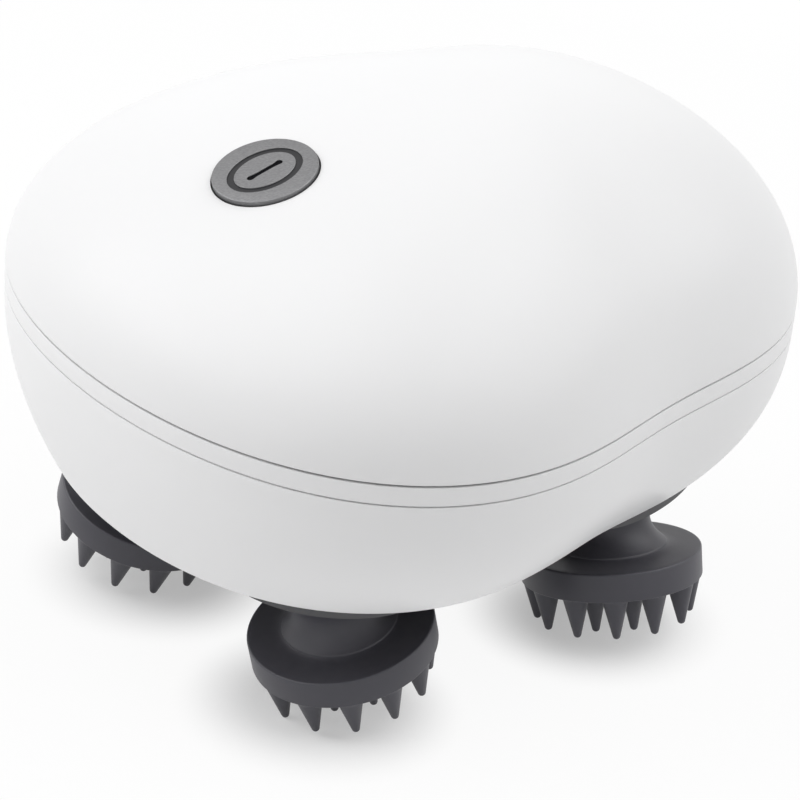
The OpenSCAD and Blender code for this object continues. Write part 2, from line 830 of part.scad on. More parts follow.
module button_mark() {
    linear_extrude(2) difference() {
        polygon(ellipse(mark_long * button_r, mark_wide * button_r));
        polygon(ellipse((mark_long - mark_line) * button_r, (mark_wide - mark_line) * button_r));
    }
    linear_extrude(2) {
        square([0.06 * button_r, 2 * mark_bar * button_r], center = true);
        for (s = [-1, 1]) translate([0, s * mark_bar * button_r]) circle(r = 0.05 * button_r);
    }
}

module button_cap() {
    color(STEEL) placed() on_button() difference() {
        translate([0, 0, button_proud - button_h]) cylinder(r = button_r, h = button_h, $fn = 96);
        translate([0, 0, button_proud - mark_depth]) button_mark();
    }
}

module button_stem() {
    color(NATURAL) placed() on_button() {
        translate([0, 0, button_proud - button_h - 1.2]) cylinder(r = stem_flange_r, h = 1.2);
        translate([0, 0, stem_end]) cylinder(r = stem_r, h = -stem_end - 1);
    }
}

module switch_plunger() {
    color(BLACK) placed() on_button() translate([0, 0, stem_end - plunger_l])
        cylinder(r = plunger_r, h = plunger_l);
}

module button_cup() {
    color(NATURAL) placed() on_button() difference() {
        translate([0, 0, cup_end]) cylinder(r = cup_r, h = cup_top - cup_end);
        translate([0, 0, cup_floor]) cylinder(r = button_r + cap_gap, h = 10);
        translate([0, 0, cup_end - 1])
            cylinder(r = button_r + cap_gap, h = cup_floor - cup_floor_t - cup_end + 1);
        translate([0, 0, cup_end]) cylinder(r = stem_r + run_gap, h = 10);
    }
}

module stem_seal() {
    color(BLACK) placed() on_button() translate([0, 0, cup_floor])
        tube(stem_r + seal_w, stem_r + run_gap, seal_ring_h);
}

module switch_board() {
    color(BOARD_GREEN) placed() on_button() translate([0, 0, cup_end])
        cylinder(r = button_r + cap_gap - fit_gap, h = board_t);
}

module tact_switch() {
    color(BLACK) placed() on_button() difference() {
        translate([-switch_w / 2, -switch_w / 2, cup_end + board_t])
            cube([switch_w, switch_w, switch_h]);
        translate([0, 0, stem_end - plunger_l - button_travel - 0.1])
            cylinder(r = plunger_r + run_gap, h = 10);
    }
}

// ---------------------------------------------------------------- motor and electrics

module motor_can() {
    color(STEEL) placed() translate([motor_at.x, motor_at.y, deck_top]) difference() {
        union() {
            cylinder(r = motor_r, h = motor_h);
            translate([0, 0, -motor_nose_h]) cylinder(r = motor_nose_r, h = motor_nose_h + 1);
        }
        translate([0, 0, -2]) cylinder(r = motor_shaft_r + run_gap, h = motor_h - motor_shaft_in + 3);
        for (s = [-1, 1])
            translate([s * motor_screw_x, 0, -1]) cylinder(r = motor_screw_r, h = 4);
    }
}

module motor_end_cap() {
    color(BLACK) placed() translate([motor_at.x, motor_at.y, motor_top]) union() {
        cylinder(r = motor_r - motor_cap_step, h = motor_cap_h);
        for (s = [-1, 1])
            translate([s * terminal_x - terminal_w / 2, -terminal_t / 2, motor_cap_h - 0.1])
                cube([terminal_w, terminal_t, terminal_l]);
    }
}

module motor_screws() {
    color(STEEL) placed() for (s = [-1, 1])
        translate([motor_at.x + s * motor_screw_x, motor_at.y, deck_z]) {
            translate([0, 0, -motor_screw_head_h])
                cylinder(r = motor_screw_head_r, h = motor_screw_head_h, $fn = 32);
            cylinder(r = motor_screw_r, h = deck_t + 2.5, $fn = 32);
        }
}

module motor_shaft() {
    bottom = first_z - 2 * gear_clear;
    color(STEEL) placed() translate([motor_at.x, motor_at.y, bottom])
        cylinder(r = motor_shaft_r, h = motor_top - motor_shaft_in - bottom);
}

module motor_pinion() {
    color(BRONZE) placed() translate([motor_at.x, motor_at.y, first_z - gear_clear]) difference() {
        gear(pinion_teeth, mod_motor, first_h + 2 * gear_clear, motor_turn);
        translate([0, 0, -1]) cylinder(r = motor_shaft_r, h = 10);
    }
}

module battery_cell() {
    color(CELL_BLUE) placed() translate([cell_x, cell_l / 2, cell_z]) rotate([90, 0, 0]) union() {
        cylinder(r = cell_r, h = cell_l);
        translate([0, 0, cell_l]) cylinder(r = cell_tip_r, h = cell_tip_h);
    }
}

module battery_cradle() {
    floor_w = 1.6 * cell_r;
    wing_w = 2 * (cell_r + cradle_wing);
    color(NATURAL) placed() difference() {
        union() {
            translate([cell_x - floor_w / 2, -cell_l / 2, deck_top])
                cube([floor_w, cell_l, cradle_t + cradle_floor_h]);
            for (y = strap_y)
                translate([cell_x - wing_w / 2, y - cradle_wing_l / 2, deck_top])
                    cube([wing_w, cradle_wing_l, cradle_t + cradle_wing_h]);
        }
        translate([cell_x, cell_l, cell_z]) rotate([90, 0, 0])
            cylinder(r = cell_r + fit_gap, h = 2 * cell_l);
    }
}

// Straps over the cell, down to the cradle's wings
module battery_straps() {
    reach = cell_r + strap_t;
    color(BLACK) placed() for (y = strap_y)
        translate([cell_x, y + strap_w / 2, cell_z]) rotate([90, 0, 0]) difference() {
            cylinder(r = reach, h = strap_w);
            translate([0, 0, -1]) cylinder(r = cell_r + run_gap, h = strap_w + 2);
            translate([-2 * reach, cradle_wing_h - cell_r - 2 * reach, -1])
                cube([4 * reach, 2 * reach, strap_w + 2]);
        }
}

module main_board() {
    color(BOARD_GREEN) placed()
        translate([main_board_x - main_board_w / 2, -main_board_l / 2, main_board_z])
            cube([main_board_w, main_board_l, board_t]);
}

// Part on the main board: middle x and y from the board's middle, then its sizes
module board_block(x, y, size) {
    translate([main_board_x + x - size.x / 2, y - size.y / 2, board_top]) cube(size);
}

module board_parts() {
    color(BLACK) placed() {
        board_block(0, -0.5, [7, 7, 1.2]);
        board_block(-6, 10.5, [4, 5, 1.5]);
        board_block(5, 13, [6, 6, 2.6]);
        translate([main_board_x + 4, -14, board_top]) cylinder(r = 2.6, h = 5);
        translate([cell_plug.x - 2.25, cell_plug.y - 3, board_top]) cube([4.5, 6, plug_h]);
        translate([motor_plug.x - 2.25, motor_plug.y - 3, board_top]) cube([4.5, 6, plug_h]);
        translate([switch_plug.x - 3, switch_plug.y - 2.25, board_top]) cube([6, 4.5, plug_h]);
    }
}

module charge_board() {
    color(BOARD_GREEN) placed() difference() {
        translate([-charge_board_w / 2, charge_back_y, charge_board_z])
            cube([charge_board_w, charge_board_l, board_t]);
        for (x = [-1, 1])
            translate([x * charge_screw_x, charge_screw_y, charge_board_z - 1])
                cylinder(r = charge_screw_r, h = board_t + 2);
    }
}

module charge_socket() {
    front_y = port_y - port_recess - 0.7;
    color(STEEL) placed() difference() {
        translate([0, front_y - socket_l, socket_z]) slot_bar(socket_w, socket_h, socket_l);
        translate([0, front_y - socket_l + 1, socket_z])
            slot_bar(socket_w - 2 * socket_wall, socket_h - 2 * socket_wall, socket_l);
    }
}

module charge_screws() {
    color(STEEL) placed() for (x = [-1, 1])
        translate([x * charge_screw_x, charge_screw_y, charge_board_z]) {
            translate([0, 0, -charge_screw_head_h])
                cylinder(r = charge_screw_head_r, h = charge_screw_head_h, $fn = 32);
            cylinder(r = charge_screw_r, h = board_t, $fn = 32);
        }
}

module port_plug() {
    back_y = port_y - port_recess + fit_gap;
    inset = 2 * (socket_wall + slide_gap);
    color(WHITE) placed() union() {
        translate([0, back_y, socket_z]) slot_bar(port_w, port_h, port_t);
        translate([0, back_y - port_tongue_l, socket_z])
            slot_bar(socket_w - inset, socket_h - inset, port_tongue_l + 0.1);
    }
}

// ---------------------------------------------------------------- leads

// Point of the button's frame in the body's frame
function from_button(p) = [
    p.x,
    -button_y + p.y * cos(button_slope) - p.z * sin(button_slope),
    button_at_z + p.y * sin(button_slope) + p.z * cos(button_slope)
];

module motor_leads() {
    solder_y = motor_at.y - terminal_t / 2 - lead_r;
    color(BLACK) placed() for (s = [-1, 1])
        lead([
            [motor_at.x + s * terminal_x, solder_y, motor_top + 3],
            [motor_at.x + s * terminal_x, solder_y, motor_top + 6],
            [motor_plug.x - 3, motor_plug.y - s * lead_pitch / 2, motor_top + 4],
            [motor_plug.x, motor_plug.y - s * lead_pitch / 2, board_top + plug_h + 3],
            [motor_plug.x, motor_plug.y - s * lead_pitch / 2, board_top + plug_h]
        ], lead_r);
}

module battery_leads() {
    aisle_x = (motor_at.x + motor_r + main_board_x - main_board_w / 2) / 2;
    floor_z = deck_top + lead_r + 0.2;
    color(BLACK) placed() for (s = [-1, 1])
        let (end_y = s < 0 ? -cell_l / 2 - cell_tip_h : cell_l / 2,
             side_x = aisle_x + s * 0.8)
        lead([
            [cell_x, end_y, cell_z],
            [cell_x, end_y + s * 2, cell_z],
            [cell_x + cell_r, end_y + s * 3, floor_z],
            [side_x, end_y + s * 3, floor_z],
            [side_x, cell_plug.y + s * lead_pitch / 2, floor_z],
            [side_x, cell_plug.y + s * lead_pitch / 2, board_top + plug_h + 2],
            [cell_plug.x, cell_plug.y + s * lead_pitch / 2, board_top + plug_h + 2],
            [cell_plug.x, cell_plug.y + s * lead_pitch / 2, board_top + plug_h]
        ], lead_r);
}

module switch_leads() {
    color(BLACK) placed() for (s = [-1, 1])
        lead([
            from_button([0, s * lead_pitch / 2, cup_end]),
            from_button([0, s * lead_pitch / 2, cup_end - 3]),
            [switch_plug.x, switch_plug.y + s * lead_pitch / 2, board_top + plug_h + 4],
            [switch_plug.x, switch_plug.y + s * lead_pitch / 2, board_top + plug_h]
        ], lead_r);
}

top_cover();
trim_ring();
cover_gasket();
lower_casing();
base_plate();
base_gasket();
gear_deck();
base_screws();
cover_screws();
lower_bushes();
upper_bushes();
shaft_seals();
central_pin();
second_pin();
first_pin();
central_gear();
second_gear();
first_gear();
motor_can();
motor_end_cap();
motor_screws();
motor_shaft();
motor_pinion();
output_shaft(FRONT_RIGHT);  // output_shaft_front_right
output_shaft(BACK_RIGHT);  // output_shaft_back_right
output_shaft(BACK_LEFT);  // output_shaft_back_left
output_shaft(FRONT_LEFT);  // output_shaft_front_left
output_gear(FRONT_RIGHT);  // output_gear_front_right
output_gear(BACK_RIGHT);  // output_gear_back_right
output_gear(BACK_LEFT);  // output_gear_back_left
output_gear(FRONT_LEFT);  // output_gear_front_left
kneading_head(FRONT_RIGHT);  // head_front_right
kneading_head(BACK_RIGHT);  // head_back_right
kneading_head(BACK_LEFT);  // head_back_left
kneading_head(FRONT_LEFT);  // head_front_left
head_hub(FRONT_RIGHT);  // hub_front_right
head_hub(BACK_RIGHT);  // hub_back_right
head_hub(BACK_LEFT);  // hub_back_left
head_hub(FRONT_LEFT);  // hub_front_left
button_cap();
button_stem();
button_cup();
stem_seal();
switch_board();
tact_switch();
switch_plunger();
battery_cell();
battery_cradle();
battery_straps();
main_board();
board_parts();
charge_board();
charge_socket();
charge_screws();
port_plug();
motor_leads();
battery_leads();
switch_leads();
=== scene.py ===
"""Electric scalp massager: the looks of every piece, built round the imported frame."""

import logging
import math
from dataclasses import dataclass, field, fields
from enum import Enum
from typing import Callable, Iterable, Mapping, Optional, Sequence

import bmesh
import bpy
from mathutils import Matrix, Vector


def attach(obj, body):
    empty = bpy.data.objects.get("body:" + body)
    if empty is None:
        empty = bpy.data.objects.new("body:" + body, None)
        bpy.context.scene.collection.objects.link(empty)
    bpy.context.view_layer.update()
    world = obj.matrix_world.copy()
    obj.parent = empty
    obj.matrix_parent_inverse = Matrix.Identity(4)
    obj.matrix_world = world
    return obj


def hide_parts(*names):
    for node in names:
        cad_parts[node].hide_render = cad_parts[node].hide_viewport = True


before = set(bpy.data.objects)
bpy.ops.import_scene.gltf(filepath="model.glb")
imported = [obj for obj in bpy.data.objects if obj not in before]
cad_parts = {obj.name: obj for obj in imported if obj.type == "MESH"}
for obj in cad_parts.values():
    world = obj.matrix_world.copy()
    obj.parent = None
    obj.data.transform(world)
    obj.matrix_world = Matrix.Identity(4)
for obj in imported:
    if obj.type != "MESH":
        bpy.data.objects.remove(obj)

LOG = logging.getLogger("scalp_massager")
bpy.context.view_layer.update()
MM = 0.001
SPOKES = 180  # points round the body
ROUND = 96  # points round a large turned solid
SMOOTH_ANGLE = math.radians(32)

Piece = bpy.types.Object
Node = bpy.types.Node
Socket = bpy.types.NodeSocket
Point = Sequence[float]
Place = tuple[float, float]
Profile = Sequence[Place]


def mm(x: float, y: float, z: float) -> Vector:
    """A place given in millimetres, in metres."""
    return Vector((x, y, z)) * MM


def turns(count: int) -> list[float]:
    """Evenly spaced angles of one full turn, in radians."""
    return [index * math.tau / count for index in range(count)]


# ------------------------------------------------------------------ working by hand


def deselect_all() -> None:
    """Leave nothing selected, in object mode."""
    if bpy.context.object and bpy.context.object.mode != "OBJECT":
        bpy.ops.object.mode_set(mode="OBJECT")
    bpy.ops.object.select_all(action="DESELECT")


def pick(piece: Piece) -> None:
    """Select one piece and make it the active one.

    Args:
        piece: the object to work on next.
    """
    deselect_all()
    piece.select_set(True)
    bpy.context.view_layer.objects.active = piece


def add(operator: Callable, name: str, **options: object) -> Piece:
    """Add an object with nothing else selected.

    Args:
        operator: what adds it.
        name: the object's name.
        options: what the operator takes.

    Returns:
        The new object.
    """
    deselect_all()
    operator(**options)
    return named(bpy.context.object, name)


def named(piece: Piece, name: str) -> Piece:
    """Give a piece and its data a name.

    Args:
        piece: the object.
        name: the new name.

    Returns:
        The same object.
    """
    piece.name = name
    piece.data.name = name
    return piece


def edit_all(piece: Piece, reach: float) -> None:
    """Go into edit mode with a whole mesh selected, and merge its doubles.

    Args:
        piece: a closed mesh.
        reach: vertices nearer than this become one, in metres.
    """
    pick(piece)
    bpy.ops.object.mode_set(mode="EDIT")
    bpy.ops.mesh.select_all(action="SELECT")
    bpy.ops.mesh.remove_doubles(threshold=reach)


def face_outwards(piece: Piece) -> None:
    """Turn every face of a closed mesh outwards.

    Args:
        piece: the object.
    """
    edit_all(piece, 1e-6)
    bpy.ops.mesh.normals_make_consistent(inside=False)
    bpy.ops.object.mode_set(mode="OBJECT")


def merge_flats(piece: Piece) -> None:
    """Merge faces that lie in one plane, so that they shade as one.

    Args:
        piece: the object.
    """
    edit_all(piece, 2e-6)
    bpy.ops.mesh.dissolve_limited(angle_limit=math.radians(0.5))
    bpy.ops.object.mode_set(mode="OBJECT")


def smooth(piece: Piece, angle: float = SMOOTH_ANGLE) -> None:
    """Shade a piece smooth, apart from edges that are sharper than an angle in radians."""
    pick(piece)
    bpy.ops.object.shade_smooth_by_angle(angle=angle)


def place(piece: Piece, matrix: Matrix) -> None:
    """Move a piece's mesh, so that its object stays at the origin.

    Args:
        piece: the object to move.
        matrix: where its mesh goes.
    """
    pick(piece)
    piece.matrix_world = matrix @ piece.matrix_world
    bpy.ops.object.transform_apply(location=True, rotation=True, scale=True)


def copy_of(piece: Piece, name: str, matrix: Matrix) -> Piece:
    """Copy a piece with a mesh of its own.

    Args:
        piece: the object to copy.
        name: the copy's name.
        matrix: where the copy's mesh goes.

    Returns:
        The copy.
    """
    twin = piece.copy()
    twin.data = piece.data.copy()
    named(twin, name)
    bpy.context.scene.collection.objects.link(twin)
    place(twin, matrix)
    return twin


def on_spots(piece: Piece, spots: Iterable[Matrix]) -> list[Piece]:
    """Put a copy of a piece on each spot, and remove the first.

    Args:
        piece: the object, in its own frame.
        spots: where the copies' meshes go.

    Returns:
        The copies.
    """
    copies = [copy_of(piece, piece.name + "_copy", spot) for spot in spots]
    bpy.data.objects.remove(piece)
    return copies


def join(pieces: Sequence[Piece], name: str) -> Piece:
    """Join several objects into one.

    Args:
        pieces: the objects to join.
        name: the joined object's name.

    Returns:
        The joined object.
    """
    pick(pieces[0])
    for piece in pieces:
        piece.select_set(True)
    bpy.ops.object.join()
    return named(bpy.context.object, name)


class Cut(Enum):
    """How one solid changes another."""

    AWAY = "DIFFERENCE"
    ADDED = "UNION"
    KEPT = "INTERSECT"


def combine(piece: Piece, tool: Piece, how: Cut) -> None:
    """Cut a piece with a tool, or add the tool to it, and remove the tool.

    Args:
        piece: the object that changes.
        tool: a closed mesh.
        how: what happens to the piece.
    """
    modifier = piece.modifiers.new(how.name.lower(), "BOOLEAN")
    modifier.operation = how.value
    modifier.solver = "EXACT"
    modifier.object = tool
    pick(piece)
    bpy.ops.object.modifier_apply(modifier=modifier.name)
    bpy.data.objects.remove(tool)


class RingMesh:
    """A mesh drawn up ring by ring from a circle, as a potter draws a wall."""

    def __init__(self, name: str, count: int) -> None:
        """Start from a small circle in edit mode.

        Args:
            name: the new object's name.
            count: the number of vertices in each ring.
        """
        self.piece = add(bpy.ops.mesh.primitive_circle_add, name, vertices=count, radius=MM)
        self.count = count
        self.rings = 0
        bpy.ops.object.mode_set(mode="EDIT")
        mesh = bmesh.from_edit_mesh(self.piece.data)
        mesh.verts.layers.int.new("spoke")
        mesh.verts.layers.int.new("ring")
        spoke = mesh.verts.layers.int["spoke"]
        around = sorted(mesh.verts, key=lambda v: math.atan2(-v.co.x, v.co.y) % math.tau)
        for index, vert in enumerate(around):
            vert[spoke] = index
        bpy.ops.mesh.select_all(action="SELECT")

    def ring(self, points: Sequence[Point]) -> None:
        """Draw the wall on to a new ring.

        Args:
            points: one place for each vertex of the ring, in metres.
        """
        if self.rings:
            self._extrude()
        self._settle(points, self.rings)
        self.rings += 1

    def _extrude(self) -> None:
        """Extrude what is selected, in place."""
        bpy.ops.mesh.extrude_region_move(TRANSFORM_OT_translate={"value": (0, 0, 0)})

    def _settle(self, points: Sequence[Point], number: int) -> None:
        """Give the selected vertices their places.

        Args:
            points: a place for each spoke, in metres.
            number: the ring that they now belong to.
        """
        mesh = bmesh.from_edit_mesh(self.piece.data)
        spoke = mesh.verts.layers.int["spoke"]
        ring = mesh.verts.layers.int["ring"]
        for vert in mesh.verts:
            if vert.select:
                vert.co = points[vert[spoke]]
                vert[ring] = number
        bmesh.update_edit_mesh(self.piece.data)

    def _select_rings(self, *wanted: int) -> None:
        """Select whole rings.

        Args:
            wanted: the numbers of the rings.
        """
        bpy.ops.mesh.select_all(action="DESELECT")
        mesh = bmesh.from_edit_mesh(self.piece.data)
        ring = mesh.verts.layers.int["ring"]
        for vert in mesh.verts:
            vert.select = vert[ring] in wanted
        mesh.select_flush(True)
        bmesh.update_edit_mesh(self.piece.data)

    def finish(self, *poles: Optional[Point]) -> Piece:
        """Close the wall into a solid: at two poles, or last ring to first ring.

        Args:
            poles: the points before the first ring and after the last, or none.

        Returns:
            The finished object.
        """
        last = self.rings - 1
        if all(pole is None for pole in poles):
            self._select_rings(0, last)
            bpy.ops.mesh.bridge_edge_loops()
        for number, pole in zip((0, last), poles):
            if pole is not None:
                self._select_rings(number)
                self._extrude()
                self._settle([pole] * self.count, -1)
                bpy.ops.mesh.merge(type="CENTER")
        bpy.ops.object.mode_set(mode="OBJECT")
        for name in ("spoke", "ring"):
            self.piece.data.attributes.remove(self.piece.data.attributes[name])
        face_outwards(self.piece)
        return self.piece


def solid(name: str, rings: Iterable[Sequence[Point]], *poles: Optional[Point]) -> Piece:
    """Draw a closed solid ring by ring.

    Args:
        name: the object's name.
        rings: the rings in order, with as many points each, in metres.
        poles: the points that close its two ends, or none for a solid ring.

    Returns:
        The solid.
    """
    rings = list(rings)
    draw = RingMesh(name, len(rings[0]))
    for points in rings:
        draw.ring(points)
    return draw.finish(*poles)


def lathe(name: str, profile: Profile, count: int = 64) -> Piece:
    """Turn a profile round the Z axis.

    Args:
        name: the object's name.
        profile: (radius, height) pairs in millimetres; an end at radius 0 is a pole.
        count: how many vertices round the axis.

    Returns:
        The turned solid.
    """
    ends = [Vector((0, 0, h * MM)) if r == 0 else None for r, h in (profile[0], profile[-1])]
    rings = [
        [mm(-r * math.sin(t), r * math.cos(t), h) for t in turns(count)] for r, h in profile if r > 0
    ]
    return solid(name, rings, *ends)


def arc(centre: Point, radius: float, start: float, stop: float, steps: int = 5) -> list[Place]:
    """Points along an arc of a profile.

    Args:
        centre: (radius, height) of its middle.
        radius: of the arc.
        start: first angle in degrees, 0 outwards and 90 upwards.
        stop: last angle in degrees.
        steps: how many stretches.

    Returns:
        (radius, height) pairs.
    """
    angles = [math.radians(start + (stop - start) * i / steps) for i in range(steps + 1)]
    return [(centre[0] + radius * math.cos(a), centre[1] + radius * math.sin(a)) for a in angles]


def stadium(width: float, height: float, inset: float, depth: float, count: int) -> list[Vector]:
    """Points of a slot with round ends, standing in the XZ plane.

    Args:
        width: end to end, in millimetres.
        height: in millimetres.
        inset: how far inside that outline, in millimetres.
        depth: place along Y, in millimetres.
        count: how many points.

    Returns:
        The points, in metres, from straight up round towards -X.
    """
    radius = height / 2 - inset
    straight = (width - height) / 2
    points = []
    for index, turn in enumerate(turns(count)):
        side = -1 if index < count / 2 else 1
        if index in (0, count // 2):
            side = 0
        points.append(mm(side * straight - radius * math.sin(turn), depth, radius * math.cos(turn)))
    return points


# ------------------------------------------------------------------ shared effects


class Wiring:
    """A tree of shader nodes that is being filled."""

    def __init__(self, tree: bpy.types.NodeTree) -> None:
        """Keep the tree."""
        self.tree = tree

    def feed(self, node: Node, inputs: Mapping[object, object]) -> None:
        """Give a node's inputs what they take.

        Args:
            node: the node.
            inputs: a socket or a constant for each input, by name or number.
        """
        for key, value in inputs.items():
            if isinstance(value, Socket):
                self.tree.links.new(value, node.inputs[key])
            else:
                node.inputs[key].default_value = value

    def node(
        self, kind: str, inputs: Optional[Mapping[object, object]] = None, **values: object
    ) -> Node:
        """Add a node.

        Args:
            kind: the node's type, without its ShaderNode prefix.
            inputs: what its inputs take, if they are fed.
            values: properties to set on it.

        Returns:
            The new node.
        """
        made = self.tree.nodes.new("ShaderNode" + kind)
        for key, value in values.items():
            setattr(made, key, value)
        self.feed(made, inputs or {})
        return made

    def maths(self, operation: str, *values: object) -> Socket:
        """Add a Math node, and give its result."""
        return self.node("Math", dict(enumerate(values)), operation=operation).outputs[0]

    def vectors(self, operation: str, *values: object) -> Socket:
        """Add a Vector Math node, and give its result, which is a number for a length."""
        made = self.node("VectorMath", dict(enumerate(values)), operation=operation)
        return made.outputs["Value" if operation == "LENGTH" else "Vector"]


class Kind(Enum):
    """What a group's socket carries."""

    NUMBER = "NodeSocketFloat"
    COLOUR = "NodeSocketColor"


class Effect(Wiring):
    """A shader node group, built once, with INPUTS and their values, and OUTPUTS."""

    NAME = ""
    INPUTS: Mapping[str, object] = {}
    OUTPUTS: Mapping[str, Kind] = {}

    def __init__(self) -> None:
        """Make the group's sockets and then its nodes."""
        super().__init__(bpy.data.node_groups.new(self.NAME, "ShaderNodeTree"))
        face = self.tree.interface
        for name, value in self.INPUTS.items():
            kind = Kind.NUMBER if isinstance(value, float) else Kind.COLOUR
            made = face.new_socket(name=name, in_out="INPUT", socket_type=kind.value)
            made.default_value = value
        for name, kind in self.OUTPUTS.items():
            face.new_socket(name=name, in_out="OUTPUT", socket_type=kind.value)
        self.given = self.tree.nodes.new("NodeGroupInput").outputs
        self.feed(self.tree.nodes.new("NodeGroupOutput"), self.build())

    def noise(self, scale: object, detail: float, spot: Optional[Socket] = None) -> Socket:
        """Add noise.

        Args:
            scale: a socket or a number of waves per metre.
            detail: how many finer layers it has.
            spot: where it is looked up, if not at the piece's own coordinates.

        Returns:
            A value from 0 to 1.
        """
        if spot is None:
            spot = self.node("TexCoord").outputs["Object"]
        inputs = {"Scale": scale, "Detail": detail, "Vector": spot}
        return self.node("TexNoise", inputs).outputs["Fac"]

    def build(self) -> dict[str, Socket]:
        """Make the nodes, and give what goes to each output."""
        return {}


class FineGrain(Effect):
    """The texture a mould leaves: tiny pits, seen as a height."""

    NAME = "fine_grain"
    INPUTS = {"Scale": 3000.0}
    OUTPUTS = {"Height": Kind.NUMBER}
    FINER = 2.7
    FINE_SHARE = 0.5

    def build(self) -> dict[str, Socket]:
        """Mix two sizes of noise.

        Returns:
            What goes to each output.
        """
        coarse = self.noise(self.given["Scale"], 2.0)
        fine = self.noise(self.maths("MULTIPLY", self.given["Scale"], self.FINER), 1.0)
        return {"Height": self.maths("ADD", coarse, self.maths("MULTIPLY", fine, self.FINE_SHARE))}


class Mottle(Effect):
    """Slow changes of colour and polish over a surface."""

    NAME = "mottle"
    INPUTS = {
        "Colour": (0.8, 0.8, 0.8, 1.0), "Shade": 0.96, "Scale": 60.0, "Roughness": 0.4, "Spread": 0.05,
    }
    OUTPUTS = {"Colour": Kind.COLOUR, "Roughness": Kind.NUMBER}

    def build(self) -> dict[str, Socket]:
        """Darken and roughen the colour a little where the noise is low.

        Returns:
            What goes to each output.
        """
        given = self.given
        wave = self.noise(given["Scale"], 4.0)
        lift = self.maths("MULTIPLY", wave, self.maths("SUBTRACT", 1.0, given["Shade"]))
        shade = self.maths("ADD", given["Shade"], lift)
        grey = self.node("CombineColor", {0: shade, 1: shade, 2: shade}).outputs["Color"]
        darker = self.node(
            "Mix", {"Factor": 1.0, "A": given["Colour"], "B": grey},
            data_type="RGBA", blend_type="MULTIPLY",
        )
        offset = self.maths("MULTIPLY", self.maths("SUBTRACT", wave, 0.5), given["Spread"])
        rough = self.maths("ADD", given["Roughness"], offset)
        return {"Colour": darker.outputs["Result"], "Roughness": rough}


class Brushing(Effect):
    """Long fine scratches along one direction of a piece."""

    NAME = "brushing"
    INPUTS = {"Turn": 0.0, "Fineness": 9000.0, "Length": 40.0}
    OUTPUTS = {"Streaks": Kind.NUMBER}

    def build(self) -> dict[str, Socket]:
        """Turn to the brushing direction, then stretch noise along it.

        Returns:
            What goes to each output.
        """
        given = self.given
        turn = self.node("CombineXYZ", {"Z": given["Turn"]}).outputs[0]
        stretch = self.node("CombineXYZ", {"X": given["Length"], "Y": 1.0, "Z": 1.0}).outputs[0]
        own = self.node("TexCoord").outputs["Object"]
        inputs = {"Vector": own, "Rotation": turn, "Scale": stretch}
        spot = self.node("Mapping", inputs, vector_type="TEXTURE").outputs[0]
        return {"Streaks": self.noise(given["Fineness"], 3.0, spot)}


class Dust(Effect):
    """A little dust where a surface faces up."""

    NAME = "dust"
    INPUTS = {"Colour": (0.8, 0.8, 0.8, 1.0), "Amount": 0.1, "Scale": 500.0}
    OUTPUTS = {"Colour": Kind.COLOUR}
    PALE = (0.45, 0.44, 0.43, 1.0)

    def build(self) -> dict[str, Socket]:
        """Mix a pale grey over the parts that face up, in patches.

        Returns:
            What goes to each output.
        """
        given = self.given
        normal = self.node("SeparateXYZ", {0: self.node("NewGeometry").outputs["Normal"]})
        up = self.maths("MAXIMUM", normal.outputs["Z"], 0.0)
        patches = self.maths("MULTIPLY", self.noise(given["Scale"], 5.0), up)
        mask = self.maths("MULTIPLY", patches, given["Amount"])
        inputs = {"Factor": mask, "A": given["Colour"], "B": self.PALE}
        return {"Colour": self.node("Mix", inputs, data_type="RGBA").outputs["Result"]}


class Effects:
    """The groups that the finishes share."""

    def __init__(self) -> None:
        """Build each group once."""
        self.grain = FineGrain()
        self.mottle = Mottle()
        self.brushing = Brushing()
        self.dust = Dust()


# ------------------------------------------------------------------ finishes

BUMP_DEPTH = 0.02
COAT_ROUGHNESS = 0.12
STREAK_FROM = 0.35
STREAK_TO = 0.65
STREAK_TINT = (0.74, 0.74, 0.75, 1.0)
STREAK_ROUGHNESS = 0.14


